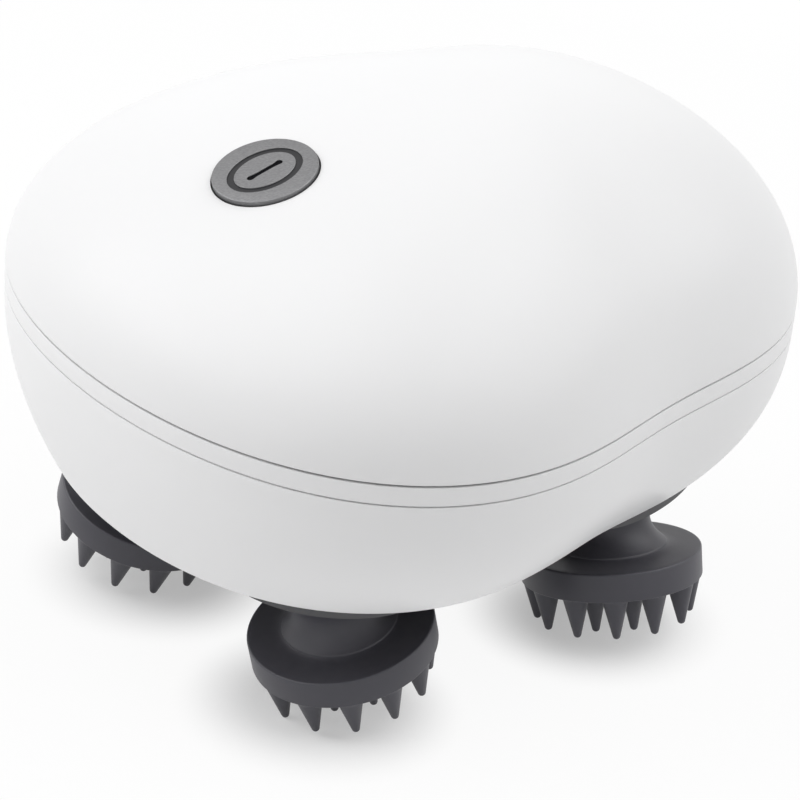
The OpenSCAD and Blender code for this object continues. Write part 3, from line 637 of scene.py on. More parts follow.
@dataclass(frozen=True)
class Finish:
    """How one kind of surface looks.

    Attributes:
        name: the material's name.
        slot: the record's material slot; it is not used.
        colour: base colour, linear.
        roughness: middle of the polish.
        metallic: 1 for bare metal.
        shade: how dark the mottling goes, as a share of the colour.
        mottle_scale: waves of mottling per metre.
        spread: how much the roughness changes.
        grain: grains per metre.
        grain_height: strength of the grain's bump.
        dust: how much dust lies on top.
        specular: how strongly a plain surface mirrors, 0.5 as plastics do.
        sheen: soft cloth-like sheen, as on silicone.
        coat: clear gloss over the colour.
        streaks: strength of brushing, 0 for none, which then stands in for the grain.
        streak_turn: direction of brushing, in degrees from X.
    """

    name: str
    slot: str
    colour: tuple[float, float, float]
    roughness: float = 0.45
    metallic: float = 0.0
    shade: float = 0.95
    mottle_scale: float = 60.0
    spread: float = 0.06
    grain: float = 3000.0
    grain_height: float = 0.04
    dust: float = 0.0
    specular: float = 0.5
    sheen: float = 0.0
    coat: float = 0.0
    streaks: float = 0.0
    streak_turn: float = 0.0

    def material(self, effects: Effects) -> bpy.types.Material:
        """Make the material.

        Args:
            effects: the shared groups.

        Returns:
            The new material.
        """
        made = bpy.data.materials.new(self.name)
        made.use_nodes = True
        wires = Wiring(made.node_tree)
        mottle = self._group(wires, effects.mottle, {
            "Colour": (*self.colour, 1.0), "Shade": self.shade, "Scale": self.mottle_scale,
            "Roughness": self.roughness, "Spread": self.spread,
        })
        colour, rough = mottle["Colour"], mottle["Roughness"]
        if self.streaks:
            colour, rough, height = self._brushed(wires, effects, colour, rough)
        else:
            height = self._group(wires, effects.grain, {"Scale": self.grain})["Height"]
        if self.dust:
            inputs = {"Amount": self.dust, "Colour": colour}
            colour = self._group(wires, effects.dust, inputs)["Colour"]
        bump = wires.node("Bump", {
            "Strength": max(self.grain_height, self.streaks), "Distance": BUMP_DEPTH * MM,
            "Height": height,
        })
        wires.feed(wires.tree.nodes["Principled BSDF"], {
            "Base Color": colour, "Roughness": rough, "Metallic": self.metallic,
            "Specular IOR Level": self.specular, "Sheen Weight": self.sheen,
            "Coat Weight": self.coat, "Coat Roughness": COAT_ROUGHNESS,
            "Normal": bump.outputs["Normal"],
        })
        return made

    def _group(
        self, wires: Wiring, effect: Effect, inputs: Mapping[object, object]
    ) -> Mapping[str, Socket]:
        """Place a shared group in a material.

        Args:
            wires: the material's nodes.
            effect: the group to place.
            inputs: what its inputs take.

        Returns:
            The group's outputs.
        """
        return wires.node("Group", inputs, node_tree=effect.tree).outputs

    def _brushed(
        self, wires: Wiring, effects: Effects, colour: Socket, rough: Socket
    ) -> tuple[Socket, Socket, Socket]:
        """Lay brushing over the colour and polish.

        Args:
            wires: the material's nodes.
            effects: the shared groups.
            colour: the colour before brushing.
            rough: the roughness before brushing.

        Returns:
            Colour, roughness and height with the brushing in them.
        """
        turn = {"Turn": math.radians(self.streak_turn)}
        streak = self._group(wires, effects.brushing, turn)["Streaks"]
        ramp = wires.node(
            "MapRange", {"Value": streak, "From Min": STREAK_FROM, "From Max": STREAK_TO}
        )
        tinted = wires.node(
            "Mix", {"Factor": ramp.outputs[0], "A": colour, "B": STREAK_TINT},
            data_type="RGBA", blend_type="MULTIPLY",
        )
        harsher = wires.maths("MULTIPLY_ADD", streak, STREAK_ROUGHNESS, rough)
        return tinted.outputs["Result"], harsher, streak


class Finishes:
    """Every finish of the massager, by the name its pieces use."""

    def __init__(self, effects: Effects) -> None:
        """Make all the materials.

        Args:
            effects: the shared groups.
        """
        kinds = (
            Finish("white_shell", "white_shell", (0.84, 0.84, 0.845), 0.36, shade=0.985,
                   mottle_scale=25, spread=0.05, grain=2600, grain_height=0.05, dust=0.02,
                   specular=0.25),
            Finish("charcoal_silicone", "charcoal_silicone", (0.052, 0.0505, 0.064), 0.48,
                   shade=0.82, mottle_scale=90, spread=0.12, grain=4200, grain_height=0.12,
                   sheen=0.06, dust=0.05),
            Finish("base_plastic", "base_plastic", (0.075, 0.075, 0.08), 0.55, shade=0.92,
                   grain=3200, grain_height=0.25),
            Finish("brushed_cap", "brushed_cap", (0.225, 0.225, 0.228), 0.42, metallic=1.0,
                   shade=0.94, mottle_scale=120, streaks=0.55, streak_turn=52.0),
            # oval groove fill: a dark sheet in the groove, painted shade standing in for the groove's
            # shadow
            Finish("ring_shade_fill", "black_plastic", (0.02, 0.02, 0.022), 0.5, shade=0.8,
                   mottle_scale=400, grain_height=0.1, specular=0.25),
            # bar fill: near-black, barely mirroring
            Finish("bar_dark_fill", "black_plastic", (0.004, 0.004, 0.005), 0.8, grain_height=0.1,
                   specular=0.05),
            Finish("steel", "steel", (0.56, 0.57, 0.58), 0.28, metallic=1.0, shade=0.9,
                   mottle_scale=300, streaks=0.12),
            Finish("bronze", "bronze", (0.52, 0.34, 0.17), 0.42, metallic=1.0, shade=0.8,
                   mottle_scale=900, grain=5200, grain_height=0.3),
            Finish("acetal", "acetal", (0.78, 0.76, 0.70), 0.4, shade=0.95, grain=2200),
            Finish("black_plastic", "black_plastic", (0.03, 0.03, 0.032), 0.45, grain_height=0.2),
            Finish("seal_rubber", "seal_rubber", (0.022, 0.022, 0.023), 0.7, shade=0.8,
                   grain=5200, grain_height=0.25),
            Finish("white_silicone", "white_silicone", (0.80, 0.80, 0.80), 0.5, shade=0.97,
                   grain=4200, grain_height=0.12, sheen=0.05),
            Finish("solder_mask", "board", (0.02, 0.13, 0.06), 0.3, shade=0.8, mottle_scale=700,
                   coat=0.3),
            Finish("cell_wrap", "cell_wrap", (0.04, 0.16, 0.34), 0.25, shade=0.93, coat=0.4),
        )
        self.by_name = {kind.name: (kind, kind.material(effects)) for kind in kinds}

    def dress(self, piece: Piece, name: str) -> None:
        """Give a new piece one finish.

        Args:
            piece: the object.
            name: the finish.
        """
        kind, material = self.by_name[name]
        piece.data.materials.clear()
        piece.data.materials.append(material)

    def dress_node(self, name: str, node: str) -> None:
        """Give a CAD node one finish.

        Args:
            name: the finish.
            node: the node's name.
        """
        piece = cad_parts[node]
        material = self.by_name[name][1]
        if not piece.material_slots:
            piece.data.materials.append(material)
        for place_of in piece.material_slots:
            place_of.material = material


# ------------------------------------------------------------------ the body's shape


@dataclass(frozen=True)
class Pebble:
    """The outside of the body, in millimetres.

    Attributes:
        radius: mean radius at the seam.
        oval, narrowing, squareness, flank: how the seam departs from a circle.
        rim_inset, rim_oval: how the rim departs from the seam.
        wall_curve: how the wall curves in towards the rim.
        ahead: where the middle of the heads lies on Y.
        rim_z, casing_h, ring_h, gasket_h, dome_h: heights, from the rim up.
        dome_back: how far the top lies behind the middle of the heads.
        wall: thickness of cover and casing.
        shares, halvings: where the search for a height on the dome begins, and its steps.
    """

    radius: float = 60.55
    oval: float = 4.3
    narrowing: float = 4.0
    squareness: float = 1.5
    flank: float = 0.9
    rim_inset: float = 9.8
    rim_oval: float = 7.8
    wall_curve: float = 2.2
    ahead: float = -3.1
    rim_z: float = 28.0
    casing_h: float = 25.0
    ring_h: float = 3.3
    gasket_h: float = 0.5
    dome_h: float = 32.8
    dome_back: float = 18.9
    wall: float = 2.2
    shares: Place = (0.001, 1.2)
    halvings: int = 24

    @property
    def seam_z(self) -> float:
        """Height of the seam between casing and trim ring."""
        return self.rim_z + self.casing_h

    @property
    def gasket_z(self) -> float:
        """Height of the top of the trim ring."""
        return self.seam_z + self.ring_h

    @property
    def dome_z(self) -> float:
        """Height of the dome's lower edge."""
        return self.gasket_z + self.gasket_h

    def _outline_r(self, turn: float, radius: float, *waves: float) -> float:
        """Radius of an outline in one direction.

        Args:
            turn: the direction, in radians from +Y.
            radius: the mean radius.
            waves: strengths of the waves round it, from two to a turn upwards.

        Returns:
            The radius in millimetres.
        """
        for order, strength in enumerate(waves, 2):
            radius += strength * math.cos(order * turn)
        return radius

    def seam_r(self, turn: float) -> float:
        """Radius of the seam in one direction, in radians from +Y."""
        waves = (self.oval, self.narrowing, -self.squareness, -self.flank)
        return self._outline_r(turn, self.radius, *waves)

    def rim_r(self, turn: float) -> float:
        """Radius of the rim in one direction, in radians from +Y."""
        waves = (self.rim_oval, self.narrowing, -self.squareness / 3)
        return self._outline_r(turn, self.radius - self.rim_inset, *waves)

    def wall_r(self, turn: float, z: float) -> float:
        """Radius of the casing at a height, in one direction."""
        share = max(0.0, min(1.0, (self.seam_z - z) / self.casing_h)) ** self.wall_curve
        return self.seam_r(turn) + (self.rim_r(turn) - self.seam_r(turn)) * share

    def wall_rings(self, profile: Profile, outline_z: Optional[float] = None) -> list[list[Vector]]:
        """Rings of points round the body.

        Args:
            profile: (inset, z) of each ring, the inset from the wall's outside.
            outline_z: height whose outline they take, if not their own.

        Returns:
            The rings, in metres.
        """
        rings = []
        for inset, z in profile:
            level = z if outline_z is None else outline_z
            points = []
            for turn in turns(SPOKES):
                r = self.wall_r(turn, level) - inset
                points.append(mm(-r * math.sin(turn), r * math.cos(turn) + self.ahead, z))
            rings.append(points)
        return rings

    def dome_rings(self, count: int, inset: float) -> list[list[Vector]]:
        """Rings of points up the dome, between its lower edge and its top.

        Args:
            count: how many rings.
            inset: how far under its outside they lie.

        Returns:
            The rings, in metres.
        """
        rings = []
        for index in range(1, count + 1):
            rise = index * math.pi / 2 / (count + 1)
            share = math.cos(rise)
            z = self.dome_z + (self.dome_h - inset) * math.sin(rise)
            points = []
            for turn in turns(SPOKES):
                r = (self.seam_r(turn) - inset) * share
                y = r * math.cos(turn) + self.dome_back * (1 - share) + self.ahead
                points.append(mm(-r * math.sin(turn), y, z))
            rings.append(points)
        return rings

    def dome_top(self, inset: float) -> Vector:
        """The top of the dome, or of the hollow under it, in metres."""
        return mm(0, self.dome_back + self.ahead, self.dome_z + self.dome_h - inset)

    def dome_height(self, x: float, y: float) -> float:
        """Height of the dome over a point, found by halving.

        Args:
            x: across, in millimetres.
            y: along, in millimetres, from the middle of the heads.

        Returns:
            The height in millimetres.
        """
        low, high = self.shares
        for _ in range(self.halvings):
            share = (low + high) / 2
            px = x / share
            py = (y - self.dome_back * (1 - share)) / share
            if math.hypot(px, py) < self.seam_r(math.atan2(-px, py)):
                high = share
            else:
                low = share
        share = min(1.0, (low + high) / 2)
        return self.dome_z + self.dome_h * math.sqrt(1 - share * share)

    def spots(self, places: Iterable[Place], z: float = 0.0) -> list[Matrix]:
        """Where things stand.

        Args:
            places: (x, y) of each from the middle of the heads, in millimetres.
            z: their height.

        Returns:
            A matrix for each.
        """
        return [Matrix.Translation(mm(x, y + self.ahead, z)) for x, y in places]


@dataclass
class ButtonSeat:
    """Where the power button sits on the dome.

    Attributes:
        pebble: the body's shape.
        ahead: distance in front of the middle of the heads.
        matrix: the button's own frame, origin on the dome and +Z out of it.
    """

    pebble: Pebble
    ahead: float = 29.1
    matrix: Matrix = field(init=False)

    def __post_init__(self) -> None:
        """Find the frame, with the slope of the dome over two millimetres."""
        front, here, back = (self.pebble.dome_height(0, step - self.ahead) for step in (-1, 0, 1))
        slope = math.atan((back - front) / 2)
        spot = self.pebble.spots([(0, -self.ahead)], here)[0]
        self.matrix = spot @ Matrix.Rotation(slope, 4, "X")


# ------------------------------------------------------------------ shells


@dataclass
class TopCover:
    """The white dome, with its hole for the button.

    Attributes:
        pebble: the body's shape.
        seat: where the button sits.
        hole_r: radius of the hole for the button.
        hole_edge: size of the rounded edge of the hole.
        cup_r, cup_z: the seat for the cup under the button.
        collar_t: thickness of the collar round that seat.
        lip_r: rounding of the lower edge.
        lip_t, lip_drop: the lip that hangs in front of the gasket.
        rings: how many rings the dome has outside; inside it has half as many.
        posts: where the screw posts stand.
        post_r, post_z, screw_r, screw_l: size of a post and of its screw hole.
        soft: rounding of the ends of posts and collar.
        post_reach, collar_reach: their heights before the dome trims them.
    """

    pebble: Pebble
    seat: ButtonSeat
    hole_r: float = 8.55
    hole_edge: float = 0.3
    cup_r: float = 10.15
    cup_z: float = -3.2
    collar_t: float = 1.6
    lip_r: float = 0.12
    lip_t: float = 0.42
    lip_drop: float = 0.14
    rings: int = 44
    posts: Sequence[Place] = ((28, -43), (-28, -43), (26, 44), (-26, 44))
    post_r: float = 3.5
    post_z: float = 51.5
    screw_r: float = 1.2
    screw_l: float = 11.0
    soft: float = 0.3
    post_reach: float = 40.0
    collar_reach: Place = (-3.0, 5.0)

    def build(self, finishes: Finishes) -> None:
        """Make the dome and dress it.

        Args:
            finishes: every finish.
        """
        body = self.pebble
        low = body.dome_z - self.lip_drop
        lip = [
            *arc((self.lip_r, low + self.lip_r), self.lip_r, 180, 270, 4),
            (self.lip_t, low), (self.lip_t, body.dome_z), (body.wall, body.dome_z),
        ]
        rings = [
            *reversed(body.dome_rings(self.rings, 0)),
            *body.wall_rings(lip, body.seam_z),
            *body.dome_rings(self.rings // 2, body.wall),
        ]
        shell = solid("top_cover_shell", rings, body.dome_top(0), body.dome_top(body.wall))
        combine(shell, self._inside(), Cut.ADDED)
        self._cut_holes(shell)
        smooth(shell)
        finishes.dress(shell, "white_shell")
        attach(shell, "housing")
        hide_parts("top_cover")
        LOG.info("top cover: %d faces", len(shell.data.polygons))

    def _core(self) -> Piece:
        """The space under the dome, as far as the middle of its wall.

        Returns:
            A closed mesh.
        """
        body = self.pebble
        inset = body.wall / 2
        low = self.post_z - 1
        foot = body.wall_rings([(inset, low), (inset, body.dome_z)], body.seam_z)
        rings = [*foot, *body.dome_rings(self.rings // 2, inset)]
        return solid("dome_core", rings, mm(0, body.ahead, low), body.dome_top(inset))

    def _inside(self) -> Piece:
        """The screw posts and the collar round the button's cup, ending inside the wall.

        Returns:
            Both in one mesh.
        """
        soft = self.soft
        solids = []
        for name, r, low, top in (
            ("post", self.post_r, self.post_z, self.post_z + self.post_reach),
            ("collar", self.cup_r + self.collar_t, *(self.cup_z + z for z in self.collar_reach)),
        ):
            profile = [(0, low), (r - soft, low), (r, low + soft), (r, top), (0, top)]
            solids.append(lathe(name, profile, ROUND))
        post, collar = solids
        place(collar, self.seat.matrix)
        posts = on_spots(post, self.pebble.spots(self.posts))
        inside = join([*posts, collar], "cover_inside")
        combine(inside, self._core(), Cut.KEPT)
        return inside

    def _cut_holes(self, shell: Piece) -> None:
        """Cut the button's hole with a softened edge, the cup's seat and the screw holes.

        Args:
            shell: the dome.
        """
        low = self.cup_z - 5
        flare = arc((self.hole_r + self.hole_edge, -self.hole_edge), self.hole_edge, 180, 90, 4)
        profile = [
            (0, low), (self.cup_r, low), (self.cup_r, self.cup_z), (self.hole_r, self.cup_z),
            *flare, (self.hole_r + 2.2, 1.2), (0, 4.0),
        ]
        tool = lathe("hole_tool", profile, ROUND)
        place(tool, self.seat.matrix)
        combine(shell, tool, Cut.AWAY)
        r, low, top = self.screw_r, self.post_z - 1, self.post_z + self.screw_l
        bore = lathe("bore", [(0, low), (r, low), (r, top - r), (0, top)], 32)
        bores = on_spots(bore, self.pebble.spots(self.posts))
        combine(shell, join(bores, "bore_tool"), Cut.AWAY)


@dataclass
class TrimRing:
    """The white band under the dome, and the dark gasket on it.

    Attributes:
        pebble: the body's shape.
        edge: rounding of the band's upper edge.
        tongue_gap: space between the tongue and the walls.
        tongue_t: thickness of the tongue.
        tongue_up: how far it stands up inside the dome.
        gasket_recess, gasket_hollow: how far the gasket lies back, and how hollow its face is.
        deck_top: height of the deck that the tongue stands over.
        seam_gap, seam_depth, seam_edge: the fine groove over the casing and its rounding.
    """

    pebble: Pebble
    edge: float = 0.15
    tongue_gap: float = 0.49
    tongue_t: float = 0.9
    tongue_up: float = 3.0
    gasket_recess: float = 0.5
    gasket_hollow: float = 0.15
    deck_top: float = 51.5
    seam_gap: float = 0.26
    seam_depth: float = 0.9
    seam_edge: float = 0.1

    def build(self, finishes: Finishes) -> None:
        """Make the band and the gasket.

        Args:
            finishes: every finish.
        """
        body = self.pebble
        low, high = body.seam_z, body.gasket_z
        out = body.wall + self.tongue_gap
        back = out + self.tongue_t
        foot, tip = self.deck_top + 0.1, high + self.tongue_up
        seam = low + self.seam_gap
        profile = [
            (self.seam_depth, low), (self.seam_depth, seam),
            *arc((self.seam_edge, seam + self.seam_edge), self.seam_edge, 270, 180, 3),
            *arc((self.edge, high - self.edge), self.edge, 180, 90, 4),
            (out, high), (out, tip - 0.4), (out + 0.3, tip), (back, tip), (back, foot), (out, foot),
            (out, low),
        ]
        piece = solid("trim_band", body.wall_rings(profile, body.seam_z))
        smooth(piece)
        finishes.dress(piece, "white_shell")
        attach(piece, "housing")
        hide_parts("trim_ring")

        hollow = self.gasket_hollow
        top = high + body.gasket_h
        face = arc((self.gasket_recess + hollow, high + body.gasket_h / 2), hollow, 90, -90, 6)
        rings = body.wall_rings([*face, (body.wall, high), (body.wall, top)], body.seam_z)
        gasket = solid("gasket_band", rings)
        smooth(gasket)
        finishes.dress(gasket, "seal_rubber")
        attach(gasket, "housing")
        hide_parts("cover_gasket")
        LOG.info("trim band and gasket: %d faces", len(piece.data.polygons))


@dataclass
class LowerCasing:
    """The white tapered wall, with the recess for the charge port.

    Attributes:
        pebble: the body's shape.
        port: sizes of the port that is cut into it.
        shafts: (x, y) of each output shaft from the middle of the heads.
        edge: rounding of its lower edge.
        seam_edge: rounding of its upper edge.
        steps: rings up the wall.
        ledge_w, ledge_t: the two inner ledges.
        low_ledge: height of the lower one.
        deck_z: height of the deck, on the upper one.
        pocket_r, pocket_z, pocket_h: the hollow round each output gear.
    """

    pebble: Pebble
    port: "ChargePort"
    shafts: Sequence[Place]
    edge: float = 0.5
    seam_edge: float = 0.12
    steps: int = 22
    ledge_w: float = 2.6
    ledge_t: float = 1.3
    low_ledge: float = 32.0
    deck_z: float = 49.0
    pocket_r: float = 15.5
    pocket_z: float = 33.6
    pocket_h: float = 4.6

    def build(self, finishes: Finishes) -> None:
        """Make the wall and dress it.

        Args:
            finishes: every finish.
        """
        body = self.pebble
        wall, ledge = body.wall, body.wall + self.ledge_w
        low, high = body.rim_z, body.seam_z
        high_ledge = self.deck_z - self.ledge_t
        span = high - low - self.edge - self.seam_edge
        outer = [
            (0, low + self.edge + span * index / self.steps) for index in range(1, self.steps)
        ]
        profile = [
            *arc((self.edge, low + self.edge), self.edge, 270, 180, 4),
            *outer,
            *arc((self.seam_edge, high - self.seam_edge), self.seam_edge, 180, 90, 4),
            (wall, high), (wall, self.deck_z), (ledge, self.deck_z), (ledge, high_ledge),
            (wall, high_ledge - self.ledge_t), (wall, (high_ledge + self.low_ledge) / 2),
            (wall, self.low_ledge + 1.15 * self.ledge_t), (ledge, self.low_ledge + self.ledge_t),
            (ledge, self.low_ledge), (wall, self.low_ledge), (wall, low + 0.01),
        ]
        shell = solid("casing_shell", body.wall_rings(profile))
        combine(shell, self.port.pad(), Cut.ADDED)
        combine(shell, self._pockets(), Cut.AWAY)
        combine(shell, self.port.recess_tool(), Cut.AWAY)
        combine(shell, self.port.socket_tool(), Cut.AWAY)
        smooth(shell)
        finishes.dress(shell, "white_shell")
        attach(shell, "housing")
        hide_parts("lower_casing")
        LOG.info("lower casing: %d faces", len(shell.data.polygons))

    def _pockets(self) -> Piece:
        """The hollows for the output gears, as one tool.

        Returns:
            The tool.
        """
        r, low, high = self.pocket_r, self.pocket_z, self.pocket_z + self.pocket_h
        pocket = lathe("pocket", [(0, low), (r, low), (r, high), (0, high)], ROUND)
        return join(on_spots(pocket, self.pebble.spots(self.shafts)), "pocket_tool")


@dataclass
class ChargePort:
    """The recess at the narrow end, and the silicone plug in it.

    Attributes:
        pebble: the body's shape.
        z: height of the port.
        width, height: of the plug.
        gap: space round the plug.
        recess: depth of the recess.
        plate: thickness of the plug's outer part.
        pad_t, pad_w, pad_h: thickness of the wall behind the recess, and how much it is larger.
        socket_w, socket_h, socket_gap: of the socket, and the room for it.
        groove: (inset, depth) of the fine groove round the plug's face.
        tongue: how far the plug's tongue reaches into the socket.
        count: points round a slot.
    """

    pebble: Pebble
    z: float = 43.4
    width: float = 14.0
    height: float = 8.0
    gap: float = 0.3
    recess: float = 2.1
    plate: float = 1.2
    pad_t: float = 2.3
    pad_w: float = 3.2
    pad_h: float = 2.8
    socket_w: float = 9.0
    socket_h: float = 3.6
    socket_gap: float = 0.4
    groove: Profile = ((1.6, 0.0), (1.85, 0.12), (2.3, 0.12), (2.55, 0.0))
    tongue: float = 2.4
    count: int = 64

    @property
    def face_y(self) -> float:
        """Where the wall's outside meets the port's middle, in millimetres."""
        return self.pebble.wall_r(0, self.z)

    def _slot(self, name: str, width: float, height: float, profile: Profile) -> Piece:
        """Make a slot-shaped solid along Y.

        Args:
            name: the object's name.
            width: end to end.
            height: top to bottom.
            profile: (inset, y) pairs in millimetres, y from the middle of the heads.

        Returns:
            The solid, in its place.
        """
        rings = [stadium(width, height, inset, y, self.count) for inset, y in profile]
        made = solid(name, rings, mm(0, profile[0][1], 0), mm(0, profile[-1][1], 0))
        place(made, self.pebble.spots([(0, 0)], self.z)[0])
        return made

    def pad(self) -> Piece:
        """The thicker place behind the recess.

        Returns:
            The slot that is added.
        """
        back = self.face_y - self.recess - self.pad_t
        profile = [(0, back), (0, back + self.pad_t + 0.1)]
        return self._slot("pad_tool", self.width + self.pad_w, self.height + self.pad_h, profile)

    def recess_tool(self) -> Piece:
        """What cuts the recess, with a softened floor edge.

        Returns:
            The tool.
        """
        low = self.face_y - self.recess
        soft = 0.3
        room = 2 * self.gap
        profile = [(soft, low), (soft * 0.3, low + soft * 0.3), (0, low + soft), (0, low + 10)]
        return self._slot("recess_tool", self.width + room, self.height + room, profile)

    def socket_tool(self) -> Piece:
        """What cuts the opening for the socket.

        Returns:
            The tool.
        """
        low = self.face_y - 12
        profile = [(0, low), (0, low + 20)]
        wide, tall = self.socket_w + self.socket_gap, self.socket_h + self.socket_gap
        return self._slot("socket_tool", wide, tall, profile)

    def build(self, finishes: Finishes) -> None:
        """Make the plug and dress it.

        Args:
            finishes: every finish.
        """
        back = self.face_y - self.recess + 0.1
        front = back + self.plate
        soft = 0.35
        profile = [
            (0.15, back), (0, back + 0.15), (0, front - soft),
            *[(soft - i, y) for i, y in arc((0, front - soft), soft, 0, 90, 5)],
            *[(i, front - depth) for i, depth in self.groove],
        ]
        flange = self._slot("port_plug_soft", self.width, self.height, profile)
        inset = 0.6 + 2 * self.gap
        tip = back - self.tongue
        tongue = self._slot(
            "tongue_tool", self.socket_w - inset, self.socket_h - inset,
            [(0.25, tip), (0, tip + 0.25), (0, back + 0.2)],
        )
        combine(flange, tongue, Cut.ADDED)
        smooth(flange)
        finishes.dress(flange, "white_silicone")
        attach(flange, "port_plug_body")
        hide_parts("port_plug")
        LOG.info("port plug: %d faces", len(flange.data.polygons))


@dataclass
class BasePlate:
    """The dark underside, with a domed boss round each shaft and its screws.

    Attributes:
        pebble: the body's shape.
        heads: (x, y) of each boss from the middle of the heads.
        z, thickness: of the plate.
        inset: how far its edge lies inside the rim.
        edge: rounding of its lower edge.
        boss_drop, boss_r, tip_r, boss_edge: size of a boss and rounding of its tip.
        bore, bore_flare: radius of the bush's bore, and how much wider it opens.
        fence: heights, from the plate's underside, that bosses are kept between.
        above: a height over everything that is cut from below.
        posts, screw_turns: where the screws are, and how their slots lie, in radians.
        screw_head_r, screw_head_h, screw_r, screw_l: size of a screw.
        slot: length, width and height of a bar of the screws' cross.
        room: space round a screw in its hole.
        pins: (y, top) of the boss under each gear pin.
        pin_boss_r, pin_r, pin_bite: size of a boss and of its pin's hole.
    """

    pebble: Pebble
    heads: Sequence[Place]
    z: float = 28.4
    thickness: float = 2.6
    inset: float = 2.3
    edge: float = 0.3
    boss_drop: float = 4.0
    boss_r: float = 19.0
    tip_r: float = 7.0
    boss_edge: float = 0.35
    bore: float = 4.0
    bore_flare: float = 1.3
    fence: Place = (-9.0, 2.0)
    above: float = 40.0
    posts: Sequence[Place] = ((33.5, 0), (-33.5, 0), (0, -45), (0, 47))
    screw_turns: Sequence[float] = (0.3, 1.1, 0.7, 1.4)
    screw_head_r: float = 2.2
    screw_head_h: float = 1.4
    screw_r: float = 1.2
    screw_l: float = 12.0
    slot: tuple[float, float, float] = (2.4, 0.55, 1.5)
    room: float = 0.2
    pins: Sequence[Place] = ((0, 33.6), (28.8, 38.3))
    pin_boss_r: float = 3.5
    pin_r: float = 1.5
    pin_bite: float = 1.6

    def _prism(self, name: str, low: float, high: float, edge: float) -> Piece:
        """A flat solid with the rim's outline.

        Args:
            name: the object's name.
            low: its lower height.
            high: its upper height.
            edge: rounding of its lower edge.

        Returns:
            The solid.
        """
        body, inset = self.pebble, self.inset
        corner = arc((inset + edge, low + edge), edge, 270, 180, 4) if edge else [(inset, low)]
        rings = body.wall_rings([*corner, (inset, high)], body.rim_z)
        return solid(name, rings, mm(0, body.ahead, low), mm(0, body.ahead, high))

    def _bosses(self) -> Piece:
        """The domed bosses, kept inside the rim.

        Returns:
            All of them in one mesh.
        """
        top, low, edge = self.z + 1.2, self.z - self.boss_drop, self.boss_edge
        spread = self.boss_r - self.tip_r
        curve = []
        for index in range(2, 17):
            turn = index * math.pi / 32
            rise = self.boss_drop * (1 - math.cos(turn))
            curve.append((self.tip_r + spread * math.sin(turn), low + rise))
        lip = arc((self.tip_r - edge, low + edge), edge, 270, 300, 2)
        boss = lathe("boss", [(0, low), *lip, *curve, (self.boss_r, top), (0, top)], ROUND)
        domes = join(on_spots(boss, self.pebble.spots(self.heads)), "boss_tool")
        below, over = self.fence
        combine(domes, self._prism("fence", self.z + below, self.z + over, 0), Cut.KEPT)
        return domes

    def build(self, finishes: Finishes) -> None:
        """Make the plate and its screws.

        Args:
            finishes: every finish.
        """
        plate = self._prism("base_shell", self.z, self.z + self.thickness, self.edge)
        combine(plate, self._bosses(), Cut.ADDED)
        low, wide, above = self.z - self.boss_drop, self.bore + self.bore_flare, self.above
        bore = [(0, low - 1), (wide, low - 1), (self.bore, low + 0.3), (self.bore, above), (0, above)]
        head_r, hole_r = self.screw_head_r + self.room, self.screw_r + self.room
        seat_z = self.z + self.screw_head_h
        hole = [
            (0, self.z - 1), (head_r + 1.2, self.z - 1), (head_r + 0.2, self.z),
            (head_r, self.z + 0.2), (head_r, seat_z), (hole_r, seat_z), (hole_r, above), (0, above),
        ]
        for profile, places in ((bore, self.heads), (hole, self.posts)):
            for tool in on_spots(lathe("tool", profile), self.pebble.spots(places)):
                combine(plate, tool, Cut.AWAY)
        self._pin_bosses(plate)
        smooth(plate)
        finishes.dress(plate, "base_plastic")
        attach(plate, "housing")
        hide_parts("base_plate")
        LOG.info("base plate: %d faces", len(plate.data.polygons))
        self._screws(finishes, seat_z)

    def _pin_bosses(self, plate: Piece) -> None:
        """Stand a boss under each gear pin, with the hole that the pin is pressed into.

        Args:
            plate: the base plate.
        """
        floor = self.z + self.thickness
        r, hole, low = self.pin_boss_r, self.pin_r, floor - self.pin_bite
        for y, top in self.pins:
            rounded = [(r, floor - 1), (r, top - 0.3), (r - 0.3, top)]
            boss = lathe("pin_boss", [(0, floor - 1), *rounded, (0, top)])
            bore = lathe("pin_bore", [(0, low), (hole, low), (hole, top + 1), (0, top + 1)], 48)
            for tool, how in ((boss, Cut.ADDED), (bore, Cut.AWAY)):
                place(tool, self.pebble.spots([(0, y)])[0])
                combine(plate, tool, how)

    def _screws(self, finishes: Finishes, seat_z: float) -> None:
        """Make the cross-head screws that hold the plate.

        Args:
            finishes: every finish.
            seat_z: height of the underside of their heads.
        """
        low, r = seat_z - self.screw_head_h, self.screw_head_r
        tip = seat_z + self.screw_l
        profile = [
            (0, low), (r - 0.8, low), (r - 0.25, low + 0.2), (r, low + 0.55), (r, seat_z),
            (self.screw_r, seat_z), (self.screw_r, tip - 1), (self.screw_r - 0.5, tip), (0, tip),
        ]
        screw = lathe("screw", profile, 40)
        for turn in (0, math.pi / 2):
            bar = add(bpy.ops.mesh.primitive_cube_add, "bar", size=1, location=(0, 0, low * MM))
            bar.scale = [side * MM for side in self.slot]
            bar.rotation_euler = (0, 0, turn)
            bpy.ops.object.transform_apply(location=True, rotation=True, scale=True)
            combine(screw, bar, Cut.AWAY)
        spots = [
            spot @ Matrix.Rotation(turn, 4, "Z")
            for spot, turn in zip(self.pebble.spots(self.posts), self.screw_turns)
        ]
        screws = join(on_spots(screw, spots), "base_screw_set")
        smooth(screws)
        finishes.dress(screws, "steel")
        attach(screws, "housing")
        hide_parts("base_screws")


# ------------------------------------------------------------------ heads


class Corner(Enum):
    """The four heads: name, place by sign, lean and turn of the tines in degrees."""

    FRONT_RIGHT = ("front_right", 1, -1, 260, 27)
    BACK_RIGHT = ("back_right", 1, 1, 176, 22)
    BACK_LEFT = ("back_left", -1, 1, 90, 7)
    FRONT_LEFT = ("front_left", -1, -1, 8, 12)


